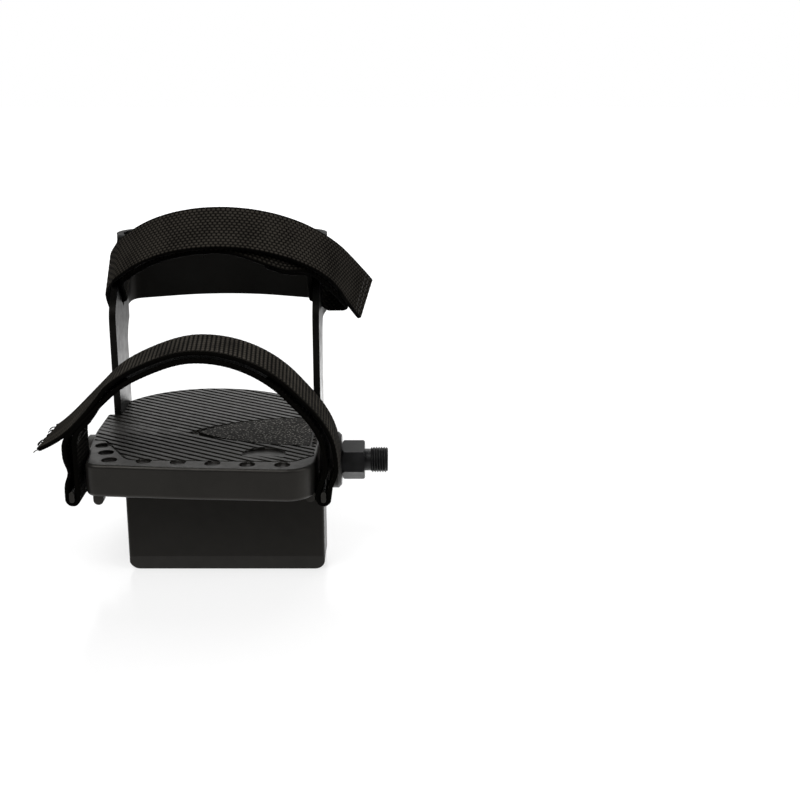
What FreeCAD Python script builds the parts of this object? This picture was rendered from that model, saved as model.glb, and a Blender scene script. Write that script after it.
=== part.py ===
import FreeCAD
import Part
import Sketcher
import math
import os

# Exercise bike pedal, millimetres. X runs along the spindle and points to the crank, Y runs from the toe edge
# to the heel, Z is up. The origin is on the spindle axis, where the crank thread begins.
SIZES = (
    # spindle, from its threaded end to its tail
    ("thread_diameter", 12.7),
    ("thread_length", 8.5),
    ("thread_chamfer", 0.8),
    ("neck_diameter", 11.0),
    ("neck_length", 3.0),
    ("hex_across_flats", 17.0),
    ("hex_length", 11.0),
    ("hex_chamfer", 0.7),
    ("hex_turn", 20.0),
    ("hub_diameter", 16.8),
    ("hub_reach", 7.2),
    ("inner_journal_diameter", 14.0),
    ("inner_journal_length", 20.0),
    ("shank_taper_length", 45.0),
    ("outer_journal_diameter", 10.0),
    ("outer_journal_length", 30.0),
    ("tail_diameter", 8.0),
    ("tail_length", 10.0),
    ("tail_chamfer", 0.8),
    # bearings and what holds them
    ("running_clearance", 0.04),
    ("press_clearance", 0.02),
    ("axial_play", 0.05),
    ("bush_wall", 2.0),
    ("bush_flange_width", 1.4),
    ("bush_flange_thickness", 1.8),
    ("inner_bush_length", 17.0),
    ("outer_bush_length", 14.0),
    ("washer_thickness", 0.9),
    ("washer_width", 3.0),
    ("lock_washer_thickness", 1.2),
    ("lock_washer_width", 3.8),
    ("locknut_height", 6.5),
    ("locknut_across_flats", 13.0),
    ("thread_clearance", 0.05),
    # round collar at the crank end and cap at the outer end
    ("cover_gap", 0.5),
    ("cover_diameter", 28.0),
    ("cover_thickness", 4.5),
    ("cover_round", 1.5),
    ("cover_spigot_length", 1.5),
    ("cover_bore_clearance", 0.8),
    ("seal_width", 2.2),
    ("seal_depth", 1.8),
    ("seal_lip_clearance", 0.3),
    ("seal_side_clearance", 0.1),
    ("cap_flange_thickness", 1.6),
    ("cap_flange_overhang", 1.6),
    ("cap_spigot_length", 5.0),
    ("cap_wall", 1.6),
    # tread moulding
    ("platform_top", 12.5),
    ("wall_height", 16.0),
    ("wall_thickness", 2.6),
    ("tread_thickness", 3.0),
    ("inner_side", 25.2),
    ("platform_width", 113.3),
    ("heel_reach", 86.8),
    ("toe_reach", 52.1),
    ("toe_middle_setback", 3.8),
    ("toe_middle_inset", 49.5),
    ("toe_outer_setback", 8.1),
    ("toe_outer_inset", 5.9),
    ("outer_side_bend", 5.0),
    ("toe_inner_radius", 13.0),
    ("toe_middle_radius", 200.0),
    ("toe_outer_radius", 6.0),
    ("outer_side_radius", 150.0),
    ("heel_inner_radius", 62.0),
    ("heel_outer_radius", 50.0),
    ("top_edge_radius", 1.6),
    ("bottom_edge_radius", 2.0),
    ("barrel_diameter", 25.0),
    ("barrel_proud", 1.6),
    ("rib_thickness", 2.0),
    ("rib_depth", 8.0),
    ("boss_diameter", 9.0),
    ("pilot_diameter", 3.0),
    # tread pattern
    ("groove_pitch", 4.2),
    ("groove_width", 1.9),
    ("groove_depth", 0.7),
    ("groove_angle", 33.0),
    ("tread_margin", 1.2),
    ("strip_width", 11.7),
    ("strip_outer_width", 14.9),
    ("strip_inner_run", 10.5),
    ("strip_corner_run", 16.0),
    ("strip_corner_reach", 44.0),
    ("strip_corner_radius", 8.0),
    ("outline_groove_width", 1.2),
    ("outline_groove_depth", 1.3),
    ("leaf_margin", 4.5),
    ("leaf_length", 56.7),
    ("leaf_front", 14.4),
    ("leaf_rear", 28.5),
    ("leaf_tip", 6.0),
    ("leaf_front_bulge", 5.5),
    ("leaf_rear_bulge", 8.0),
    # the ribs run shallower in a wedge between the leaf's tip and the outer side
    ("stem_rear", 27.0),
    ("stem_front", 5.0),
    ("stem_groove_depth", 0.3),
    ("dimple_diameter", 7.6),
    ("dimple_depth", 1.4),
    ("dimple_pitch", 16.4),
    ("dimple_inset", 8.2),
    ("dimple_side_inset", 6.4),
    ("corner_dimple_pitch", 10.8),
    ("dish_diameter", 21.0),
    ("dish_tilt", 5.0),
    ("dish_offset", 25.3),
    ("dish_setback", 24.0),
    # strap bars at the two sides of the tread
    ("strap_width", 25.0),
    ("strap_thickness", 2.0),
    ("strap_gap", 0.3),
    ("bar_thickness", 2.4),
    ("bar_height", 5.2),
    ("bar_level", -3.8),
    ("bar_round", 1.1),
    ("bar_arm_thickness", 3.0),
    ("bar_end_clearance", 1.0),
    ("toe_strap_middle", -30.5),
    ("lug_width", 4.8),
    ("lug_drop", 4.4),
    ("lug_depth", 5.0),
    ("lug_inset", 2.8),
    ("lug_setback", 13.5),
    # counterweight housing
    ("housing_inner_side", 22.0),
    ("housing_width", 95.0),
    ("housing_front", -32.0),
    ("housing_depth", 58.0),
    ("housing_bottom", -46.0),
    ("housing_wall", 2.5),
    ("housing_front_radius", 1.5),
    ("housing_rear_radius", 38.0),
    ("housing_corner_radius", 5.0),
    ("housing_bevel_height", 7.5),
    ("housing_bevel_depth", 2.2),
    ("barrel_clearance", 0.4),
    ("post_diameter", 9.0),
    ("post_side_inset", 9.0),
    ("post_front_inset", 8.5),
    ("post_rear_inset", 8.4),
    ("post_rear_side_inset", 30.5),
    ("post_level", -9.0),
    ("screw_diameter", 3.4),
    ("screw_head_diameter", 6.2),
    ("screw_head_height", 2.4),
    ("screw_length", 14.0),
    ("screw_clearance", 0.3),
    ("weight_clearance", 0.6),
    ("weight_top", -27.0),
    # heel cup
    ("cup_spacing", 100.6),
    ("cup_middle", 80.9),
    ("cup_thickness", 3.5),
    ("leg_front", 36.0),
    ("leg_width", 28.0),
    ("leg_bottom", -2.0),
    ("leg_round", 4.0),
    ("leg_break", 67.5),
    ("flare_start", 72.0),
    ("flare_width", 5.5),
    ("flare_end", 87.0),
    ("cup_rear", 108.0),
    ("cup_rear_radius", 82.0),
    ("cup_corner_radius", 11.0),
    ("cup_bottom", 63.0),
    ("cup_top", 101.0),
    ("cup_top_radius", 9.0),
    ("cup_leg_radius", 16.0),
    ("strap_tilt", 45.0),
    ("ankle_bar_width", 12.0),
    ("ankle_slot_width", 4.6),
    ("ankle_slot_extra", 3.0),
    ("ankle_middle", 60.0),
    ("ankle_level", 83.0),
    ("pad_thickness", 5.0),
    ("leg_seat_clearance", 0.1),
    ("bolt_diameter", 5.0),
    ("bolt_head_diameter", 9.0),
    ("bolt_head_height", 2.6),
    ("bolt_spacing", 14.0),
    ("bolt_level", 4.5),
    ("bolt_end", 1.5),
    ("bolt_hole_clearance", 0.2),
    ("nut_across_flats", 8.0),
    ("nut_height", 4.0),
    ("bolt_washer_diameter", 10.0),
    ("bolt_washer_thickness", 1.0),
    # strap runs
    ("tape_thickness", 0.9),
    ("tape_clearance", 0.06),
    ("tape_inset", 2.0),
    ("toe_arch_top", 68.0),
    ("toe_arch_radius", 60.0),
    ("toe_tail_angle", 45.0),
    ("toe_tail_length", 46.0),
    ("toe_tape_angle", 34.0),
    ("loop_bend", 11.0),
    ("ankle_arch_top", 40.0),
    ("ankle_arch_radius", 67.0),
    ("ankle_arch_shift", 4.9),
    ("ankle_shoulder_angle", 46.0),
    ("ankle_shoulder_radius", 10.0),
    ("ankle_tail_angle", 66.0),
    ("ankle_tail_length", 27.7),
    ("ankle_seam_angle", 38.0),
    ("ankle_seam_sweep", 14.0),
    ("ankle_tape_angle", 44.0),
    ("ankle_bar_clearance", 0.7),
    ("ankle_turn_radius", 2.4),
)

doc = FreeCAD.newDocument("exercise_bike_pedal")
sheet = doc.addObject("Spreadsheet::Sheet", "sizes")
for row, (alias, number) in enumerate(SIZES, start=1):
    sheet.set("A%d" % row, alias)
    sheet.set("B%d" % row, str(number))
    sheet.setAlias("B%d" % row, alias)
doc.recompute()

# share of the webbing's thickness between the middles of two sewn layers
SEAM = 0.95
# keeps a short straight run between two bends that would otherwise touch
NEARLY = 0.995

pieces = []


def size(name):
    return float(sheet.get(name))


def total(terms):
    """Value of a sum such as "hex_length + cover_gap - cap_wall/2"."""
    amount = 0.0
    sign = 1.0
    for word in terms.split():
        if word in "+-":
            sign = 1.0 if word == "+" else -1.0
        elif word.endswith("/2"):
            amount += sign * size(word[:-2]) / 2
        else:
            amount += sign * size(word)
    return amount


def formula(terms):
    """The same sum as an expression on the sheet's cells."""
    words = []
    for word in terms.split():
        words.append(word if word in "+-" else "sizes." + word)
    return " ".join(words)


def finished(piece, label):
    piece.Label = label
    pieces.append(piece)
    return piece


def new_body(name):
    return doc.addObject("PartDesign::Body", name)


def origin_plane(body, role):
    for feature in body.Origin.OriginFeatures:
        if feature.Role == role:
            return feature


def body_sketch(body, name, role):
    sketch = body.newObject("Sketcher::SketchObject", name)
    sketch.AttachmentSupport = [(origin_plane(body, role), "")]
    sketch.MapMode = "FlatFace"
    return sketch


def free_sketch(name, edges, placement=None):
    """Sketch outside a body, from ready edges in its own plane."""
    sketch = doc.addObject("Sketcher::SketchObject", name)
    sketch.addGeometry([edge_curve(edge) for edge in edges], False)
    if placement:
        sketch.Placement = placement
    return sketch


def edge_curve(edge):
    if isinstance(edge.Curve, Part.Line):
        return Part.LineSegment(edge.Vertexes[0].Point, edge.Vertexes[-1].Point)
    middle = edge.valueAt((edge.FirstParameter + edge.LastParameter) / 2)
    return Part.Arc(edge.valueAt(edge.FirstParameter), middle, edge.valueAt(edge.LastParameter))


def constrain_point(sketch, line, x_terms, y_terms):
    """Hold the start of a line at sheet-driven distances from the origin of its sketch."""
    for kind, terms, axis in (("DistanceX", x_terms, -2), ("DistanceY", y_terms, -1)):
        distance = total(terms)
        if abs(distance) < 1e-9:
            sketch.addConstraint(Sketcher.Constraint("PointOnObject", line, 1, axis))
        elif distance > 0:
            row = sketch.addConstraint(Sketcher.Constraint(kind, -1, 1, line, 1, distance))
            sketch.setExpression("Constraints[%d]" % row, formula(terms))
        else:
            row = sketch.addConstraint(Sketcher.Constraint(kind, line, 1, -1, 1, -distance))
            sketch.setExpression("Constraints[%d]" % row, "-(" + formula(terms) + ")")


def draw_profile(sketch, points):
    """Closed polygon whose corners are sums of the sheet's values."""
    places = [FreeCAD.Vector(total(x), total(y), 0) for x, y in points]
    first = sketch.GeometryCount
    for number, place in enumerate(places):
        sketch.addGeometry(Part.LineSegment(place, places[(number + 1) % len(places)]), False)
    for number, (x_terms, y_terms) in enumerate(points):
        follower = first + (number + 1) % len(points)
        sketch.addConstraint(Sketcher.Constraint("Coincident", first + number, 2, follower, 1))
        constrain_point(sketch, first + number, x_terms, y_terms)


def turned(name, points):
    """Body turned about the spindle axis from a half section of (X, radius) corners."""
    body = new_body(name)
    sketch = body_sketch(body, name + "_section", "XZ_Plane")
    draw_profile(sketch, points)
    turn = body.newObject("PartDesign::Revolution", name + "_turn")
    turn.Profile = sketch
    turn.ReferenceAxis = (sketch, ["H_Axis"])
    turn.Angle = 360
    return body


def corner_path(points, closed):
    """Straight runs joined by tangent arcs, from (x, y, radius) corners."""
    places = [FreeCAD.Vector(x, y, 0) for x, y, radius in points]
    count = len(points)
    edges = []
    joints = []
    for number, (x, y, radius) in enumerate(points):
        here = places[number]
        ends = (not closed) and number in (0, count - 1)
        if ends or radius <= 0:
            joints.append((here, here))
            continue
        back = (places[number - 1] - here).normalize()
        ahead = (places[(number + 1) % count] - here).normalize()
        half = back.getAngle(ahead) / 2
        reach = radius / math.tan(half)
        start = here + back * reach
        finish = here + ahead * reach
        bisector = (back + ahead).normalize()
        centre = here + bisector * (radius / math.sin(half))
        middle = centre - bisector * radius
        joints.append((start, finish))
        edges.append((number, Part.Arc(start, middle, finish).toShape()))
    arcs = dict(edges)
    chain = []
    for number in range(count):
        if number in arcs:
            chain.append(arcs[number])
        last = number == count - 1
        if last and not closed:
            break
        start = joints[number][1]
        finish = joints[(number + 1) % count][0]
        if (finish - start).Length > 1e-6:
            chain.append(Part.LineSegment(start, finish).toShape())
    return chain


def extruded(name, base, terms, direction=(0, 0, 1)):
    """Solid extrusion of a closed sketch by a sum of sheet values."""
    solid = doc.addObject("Part::Extrusion", name)
    solid.Base = base
    solid.DirMode = "Custom"
    solid.Dir = FreeCAD.Vector(*direction)
    solid.Solid = True
    solid.LengthFwd = total(terms)
    solid.setExpression("LengthFwd", formula(terms))
    return solid


def inset(name, base, terms, inward=True):
    """Copy of a closed outline, moved in or out by a sum of sheet values."""
    copy = doc.addObject("Part::Offset2D", name)
    copy.Source = base
    sign = "-" if inward else ""
    copy.Value = -total(terms) if inward else total(terms)
    copy.setExpression("Value", sign + "(" + formula(terms) + ")")
    copy.Join = 0
    return copy


def cylinder(name, diameter_terms, length_terms, placement):
    solid = doc.addObject("Part::Cylinder", name)
    solid.Radius = total(diameter_terms) / 2
    solid.setExpression("Radius", "(" + formula(diameter_terms) + ") / 2")
    solid.Height = total(length_terms)
    solid.setExpression("Height", formula(length_terms))
    solid.Placement = placement
    return solid


def box(name, lengths, corner, rotation=None):
    solid = doc.addObject("Part::Box", name)
    for side, terms in zip(("Length", "Width", "Height"), lengths):
        setattr(solid, side, total(terms))
        solid.setExpression(side, formula(terms))
    solid.Placement = FreeCAD.Placement(FreeCAD.Vector(*corner), rotation or FreeCAD.Rotation())
    return solid


def fused(name, shapes):
    joined = doc.addObject("Part::MultiFuse", name)
    joined.Shapes = shapes
    joined.Refine = True
    return joined


def cut_away(name, base, tool):
    rest = doc.addObject("Part::Cut", name)
    rest.Base = base
    rest.Tool = tool
    return rest


def shared(name, first, second):
    overlap = doc.addObject("Part::MultiCommon", name)
    overlap.Shapes = [first, second]
    return overlap


def rounded(name, base, radius_terms, choose):
    """Fillet on the edges of a solid that a test picks."""
    doc.recompute()
    fillet = doc.addObject("Part::Fillet", name)
    fillet.Base = base
    radius = total(radius_terms)
    picked = []
    for number, edge in enumerate(base.Shape.Edges, start=1):
        if choose(edge):
            picked.append((number, radius, radius))
    fillet.Edges = picked
    return fillet


def lies_at(level):
    """Test for the edges that lie flat at one height."""
    def test(edge):
        box_of = edge.BoundBox
        return abs(box_of.ZMin - level) < 1e-4 and abs(box_of.ZMax - level) < 1e-4
    return test


def at(x, y, z, axis=(0, 0, 1), angle=0.0):
    return FreeCAD.Placement(FreeCAD.Vector(x, y, z), FreeCAD.Rotation(FreeCAD.Vector(*axis), angle))


along_x = FreeCAD.Rotation(FreeCAD.Vector(0, 1, 0), 90)


def hexagon(across_flats, turn):
    corners = []
    for number in range(6):
        angle = math.radians(turn + 60 * number)
        reach = across_flats / math.sqrt(3)
        corners.append((reach * math.cos(angle), reach * math.sin(angle), 0))
    return corner_path(corners, True)


# Places along the spindle, all measured from the start of the thread towards the outer side
nothing = "neck_length - neck_length"
hex_end = "- neck_length - hex_length"
cover_face = hex_end + " - cover_gap"
barrel_end = cover_face + " - cover_thickness"
hub_end = hex_end + " - hub_reach"
flange_face = hub_end + " - axial_play - washer_thickness - axial_play"
flange_seat = flange_face + " - bush_flange_thickness"
inner_bush_end = flange_seat + " - inner_bush_length"
inner_journal_end = hub_end + " - inner_journal_length"
taper_end = inner_journal_end + " - shank_taper_length"
outer_journal_end = taper_end + " - outer_journal_length"
tail_end = outer_journal_end + " - tail_length"
outer_flange_face = outer_journal_end + " + axial_play + axial_play"
outer_flange_seat = outer_flange_face + " + bush_flange_thickness"
outer_bush_end = outer_flange_seat + " + outer_bush_length"
nut_seat = outer_journal_end + " - lock_washer_thickness"
nut_end = nut_seat + " - locknut_height"
outer_side = "- inner_side - platform_width"
cap_face = outer_side + " - barrel_proud"
inner_flange_radius = "inner_journal_diameter/2 + bush_wall + bush_flange_width"
outer_flange_radius = "outer_journal_diameter/2 + bush_wall + bush_flange_width"
counterbore_radius = inner_flange_radius + " + running_clearance"
cap_bore_radius = outer_flange_radius + " + running_clearance"


def make_spindle():
    body = turned("spindle", [
        ("thread_length", nothing),
        ("thread_length", "thread_diameter/2 - thread_chamfer"),
        ("thread_length - thread_chamfer", "thread_diameter/2"),
        (nothing, "thread_diameter/2"),
        (nothing, "neck_diameter/2"),
        ("- neck_length", "neck_diameter/2"),
        ("- neck_length", "hub_diameter/2"),
        (hub_end, "hub_diameter/2"),
        (hub_end, "inner_journal_diameter/2"),
        (inner_journal_end, "inner_journal_diameter/2"),
        (taper_end, "outer_journal_diameter/2"),
        (outer_journal_end, "outer_journal_diameter/2"),
        (outer_journal_end, "tail_diameter/2"),
        (tail_end + " + tail_chamfer", "tail_diameter/2"),
        (tail_end, "tail_diameter/2 - tail_chamfer"),
        (tail_end, nothing),
    ])
    flats = body_sketch(body, "spindle_hexagon", "YZ_Plane")
    edges = hexagon(size("hex_across_flats"), size("hex_turn"))
    flats.addGeometry([edge_curve(edge) for edge in edges], False)
    flats.setExpression("AttachmentOffset.Base.z", "-sizes.neck_length")
    pad = body.newObject("PartDesign::Pad", "spindle_hexagon_pad")
    pad.Profile = flats
    pad.Reversed = True
    pad.setExpression("Length", "sizes.hex_length")
    # turned chamfers on the corners of the hexagon, at both of its ends
    corner = size("hex_across_flats") / math.sqrt(3) + size("hex_chamfer")
    low = size("hex_across_flats") / 2
    bite = (corner - low) * size("hex_chamfer")
    chamfers = body_sketch(body, "spindle_hexagon_chamfers", "XZ_Plane")
    for end, inward in ((-size("neck_length"), -bite), (total(hex_end), bite)):
        triangle = [(end, low, 0), (end, corner, 0), (end + inward, corner, 0)]
        chamfers.addGeometry([edge_curve(edge) for edge in corner_path(triangle, True)], False)
    groove = body.newObject("PartDesign::Groove", "spindle_hexagon_groove")
    groove.Profile = chamfers
    groove.ReferenceAxis = (chamfers, ["H_Axis"])
    groove.Angle = 360
    finished(body, "spindle")


def make_bearings():
    inner_bore = "inner_journal_diameter/2 + running_clearance"
    inner_body = "inner_journal_diameter/2 + bush_wall - press_clearance"
    finished(turned("inner_bush", [
        (flange_face, inner_bore),
        (flange_face, inner_flange_radius),
        (flange_seat, inner_flange_radius),
        (flange_seat, inner_body),
        (inner_bush_end, inner_body),
        (inner_bush_end, inner_bore),
    ]), "inner_bush")
    outer_bore = "outer_journal_diameter/2 + running_clearance"
    outer_body = "outer_journal_diameter/2 + bush_wall - press_clearance"
    finished(turned("outer_bush", [
        (outer_bush_end, outer_bore),
        (outer_bush_end, outer_body),
        (outer_flange_seat, outer_body),
        (outer_flange_seat, outer_flange_radius),
        (outer_flange_face, outer_flange_radius),
        (outer_flange_face, outer_bore),
    ]), "outer_bush")
    washer_front = hub_end + " - axial_play"
    washer_bore = "inner_journal_diameter/2 + running_clearance"
    finished(turned("thrust_washer", [
        (washer_front, washer_bore),
        (washer_front, washer_bore + " + washer_width"),
        (washer_front + " - washer_thickness", washer_bore + " + washer_width"),
        (washer_front + " - washer_thickness", washer_bore),
    ]), "thrust_washer")
    lock_bore = "tail_diameter/2 + thread_clearance"
    finished(turned("lock_washer", [
        (outer_journal_end, lock_bore),
        (outer_journal_end, lock_bore + " + lock_washer_width"),
        (nut_seat, lock_bore + " + lock_washer_width"),
        (nut_seat, lock_bore),
    ]), "lock_washer")
    blank = extruded("locknut_blank", free_sketch(
        "locknut_hexagon", hexagon(size("locknut_across_flats"), 0),
        FreeCAD.Placement(FreeCAD.Vector(total(nut_end), 0, 0), along_x)),
        "locknut_height", direction=(1, 0, 0))
    hole = cylinder("locknut_hole", "tail_diameter + thread_clearance + thread_clearance", "locknut_height",
                    FreeCAD.Placement(FreeCAD.Vector(total(nut_end), 0, 0), along_x))
    finished(cut_away("locknut", blank, hole), "locknut")


def make_covers():
    spigot = counterbore_radius + " - press_clearance"
    bore = "hub_diameter/2 + cover_bore_clearance"
    groove_front = cover_face + " - cover_thickness/2 + seal_width/2 + seal_side_clearance"
    groove_back = groove_front + " - seal_width - seal_side_clearance - seal_side_clearance"
    groove = bore + " + seal_depth"
    finished(turned("bearing_cover", [
        (cover_face, bore),
        (cover_face, "cover_diameter/2 - cover_round"),
        (cover_face + " - cover_round", "cover_diameter/2"),
        (barrel_end, "cover_diameter/2"),
        (barrel_end, spigot),
        (barrel_end + " - cover_spigot_length", spigot),
        (barrel_end + " - cover_spigot_length", bore),
        (groove_back, bore),
        (groove_back, groove),
        (groove_front, groove),
        (groove_front, bore),
    ]), "bearing_cover")
    lip = "hub_diameter/2 + seal_lip_clearance"
    finished(turned("dust_seal", [
        (groove_front + " - seal_side_clearance", lip),
        (groove_front + " - seal_side_clearance", groove + " - seal_side_clearance"),
        (groove_back + " + seal_side_clearance", groove + " - seal_side_clearance"),
        (groove_back + " + seal_side_clearance", lip),
    ]), "dust_seal")
    cap_spigot = cap_bore_radius + " - press_clearance"
    finished(turned("dust_cap", [
        (cap_face + " - cap_flange_thickness", nothing),
        (cap_face + " - cap_flange_thickness", cap_bore_radius),
        (cap_face, cap_bore_radius + " + cap_flange_overhang"),
        (cap_face, cap_spigot),
        (cap_face + " + cap_spigot_length", cap_spigot),
        (cap_face + " + cap_spigot_length", cap_spigot + " - cap_wall"),
        (cap_face, cap_spigot + " - cap_wall"),
        (cap_face, nothing),
    ]), "dust_cap")


def platform_outline():
    inner = -size("inner_side")
    outer = total(outer_side)
    toe = -size("toe_reach")
    heel = size("heel_reach")
    return [
        (outer + size("toe_outer_inset"), toe + size("toe_outer_setback"), size("toe_outer_radius")),
        (outer + size("toe_middle_inset"), toe + size("toe_middle_setback"), size("toe_middle_radius")),
        (inner, toe, size("toe_inner_radius")),
        (inner, heel, size("heel_inner_radius")),
        (outer, heel, size("heel_outer_radius")),
        (outer, size("outer_side_bend"), size("outer_side_radius")),
    ]


def front_strip():
    """Smooth strip behind the toe edge, which widens at the outer corner."""
    inner = -size("inner_side")
    outer = total(outer_side)
    toe = -size("toe_reach")
    width = size("strip_width")
    radius = size("strip_corner_radius")
    beyond = size("wall_height")
    line = toe + size("strip_outer_width")
    return [
        (outer - beyond, toe - beyond, 0),
        (inner + beyond, toe - beyond, 0),
        (inner + beyond, toe + width + size("strip_inner_run") + beyond, 0),
        (inner - size("strip_inner_run"), toe + width, radius),
        (outer + size("strip_corner_run") + radius, line, radius),
        (outer + size("strip_corner_run") / 2, toe + size("strip_corner_reach"), radius / 2),
        (outer - beyond, toe + size("strip_corner_reach") + radius / 4, 0),
    ]


def leaf_outline(grow):
    """Leaf with its tip on the outer side, cut square at the inner margin."""
    inner = -size("inner_side") - size("leaf_margin") + grow
    tip = FreeCAD.Vector(inner - size("leaf_length") - 5 * grow, size("leaf_tip"), 0)
    front = FreeCAD.Vector(inner, -size("leaf_front") - grow, 0)
    rear = FreeCAD.Vector(inner, size("leaf_rear") + grow, 0)
    edges = []
    for start, finish, bulge in ((tip, front, "leaf_front_bulge"), (rear, tip, "leaf_rear_bulge")):
        chord = finish - start
        normal = FreeCAD.Vector(chord.y, -chord.x, 0).normalize()
        bulged = (start + finish) * 0.5 + normal * size(bulge)
        edges.append(Part.Arc(start, bulged, finish).toShape())
    edges.insert(1, Part.LineSegment(front, rear).toShape())
    return edges


def stem_outline():
    """Wedge from the leaf's tip to beyond the outer side."""
    tip = -size("inner_side") - size("leaf_margin") - size("leaf_length")
    beyond = total(outer_side) - size("wall_thickness")
    return [(tip, size("leaf_tip"), 0), (beyond, size("stem_rear"), 0), (beyond, size("stem_front"), 0)]


def make_tread_cutters(outline):
    """The grooves, dimples and dish that are cut into the top of the tread."""
    top = size("platform_top")
    floor = top - size("groove_depth")
    raised = at(0, 0, floor)
    deep = at(0, 0, top - size("outline_groove_depth"))
    deep_height = "wall_height + outline_groove_depth"
    margin_line = inset("field_margin_line", outline, "tread_margin")
    margin = extruded("field_margin", margin_line, "wall_height")
    margin.Placement = raised
    groove_limit = extruded("groove_limit", margin_line, deep_height)
    groove_limit.Placement = deep
    strip_sketch = free_sketch("front_strip_line", corner_path(front_strip(), True))
    strip = extruded("front_strip", strip_sketch, deep_height)
    strip.Placement = deep
    strip_wide = extruded(
        "front_strip_wide", inset("front_strip_border", strip_sketch, "outline_groove_width", False), deep_height)
    strip_wide.Placement = deep
    leaf = extruded("leaf", free_sketch("leaf_line", leaf_outline(0.0)), deep_height)
    leaf.Placement = deep
    leaf_wide = extruded(
        "leaf_wide", free_sketch("leaf_border", leaf_outline(size("outline_groove_width"))), deep_height)
    leaf_wide.Placement = deep
    stem = extruded("stem", free_sketch("stem_line", corner_path(stem_outline(), True)), "wall_height")
    stem.Placement = raised
    dish_x = -size("inner_side") - size("dish_offset")
    dish_y = -size("toe_reach") + size("dish_setback")
    # diagonal stripes over the whole tread, then kept only inside the ribbed field
    middle_x = -size("inner_side") - size("platform_width") / 2
    span = size("platform_width") + size("heel_reach")
    count = int(span / size("groove_pitch"))
    turn = math.radians(-size("groove_angle"))
    across = FreeCAD.Vector(-math.sin(turn), math.cos(turn), 0)
    along = FreeCAD.Vector(math.cos(turn), math.sin(turn), 0)
    stripes = []
    for number in range(count):
        offset = (number - count / 2) * size("groove_pitch")
        corner = FreeCAD.Vector(middle_x, 0, floor) + across * offset - along * span / 2
        stripes.append(box("stripe_%02d" % number, ("platform_width + heel_reach", "groove_width", "wall_height"),
                           corner, FreeCAD.Rotation(FreeCAD.Vector(0, 0, 1), -size("groove_angle"))))
    stripe_set = doc.addObject("Part::Compound", "stripes")
    stripe_set.Links = stripes
    smooth = fused("smooth_areas", [strip_wide, leaf_wide])
    field = cut_away("ribbed_field", margin, fused("shallow_areas", [smooth, stem]))
    grooves = shared("diagonal_grooves", field, stripe_set)
    stem_field = cut_away("stem_field", shared("stem_area", margin, stem), smooth)
    stem_grooves = shared("stem_grooves", stem_field, stripe_set)
    stem_grooves.Placement = at(0, 0, size("groove_depth") - size("stem_groove_depth"))
    leaf_groove = cut_away("leaf_groove", leaf_wide, leaf)
    strip_groove = shared("strip_groove", cut_away("strip_band", strip_wide, strip), groove_limit)
    tools = [grooves, stem_grooves, leaf_groove, strip_groove]
    # round dimples along the toe edge and up the outer corner
    for number, (x, y) in enumerate(dimple_places()):
        tools.append(cylinder("dimple_%d" % number, "dimple_diameter", "wall_height",
                              at(x, y, top - size("dimple_depth"))))
    # shallow dish, deepest at its heel side
    tilt = at(0, 0, 0, (1, 0, 0), -size("dish_tilt"))
    dish = cylinder("dish", "dish_diameter", "wall_height",
                    at(dish_x, dish_y, top - size("groove_depth")).multiply(tilt))
    tools.append(dish)
    tool_set = doc.addObject("Part::Compound", "tread_cutters")
    tool_set.Links = tools
    return tool_set


def dimple_places():
    outer = total(outer_side)
    toe = -size("toe_reach")
    pitch = size("dimple_pitch")
    slope = (size("toe_outer_setback") - size("toe_middle_setback"))
    slope /= size("toe_middle_inset") - size("toe_outer_inset")
    start = outer + size("toe_outer_inset") + size("dimple_side_inset") + size("dimple_diameter") / 2
    places = []
    for number in range(6):
        x = start + number * pitch
        setback = max(size("toe_outer_setback") - slope * (x - outer - size("toe_outer_inset")), 0.0)
        places.append((x, toe + setback + size("dimple_inset")))
    for number in (1, 2):
        x = start - number * size("dimple_diameter") / 2
        places.append((x, places[0][1] + number * size("corner_dimple_pitch")))
    return places


def bar_places():
    """Middle of the strap bar on each side, inner then outer, in X."""
    slot = size("strap_thickness") + 2 * size("strap_gap")
    front = size("toe_strap_middle") - size("strap_width") / 2
    run = size("toe_reach") - size("toe_outer_setback") + size("outer_side_bend")
    bend = size("outer_side_bend") - (front + size("strap_width"))
    outer_wall = total(outer_side) + size("toe_outer_inset") * bend / run
    inner_bar = -size("inner_side") + slot + size("bar_thickness") / 2
    outer_bar = outer_wall - slot - size("bar_thickness") / 2
    return inner_bar, outer_bar


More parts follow.
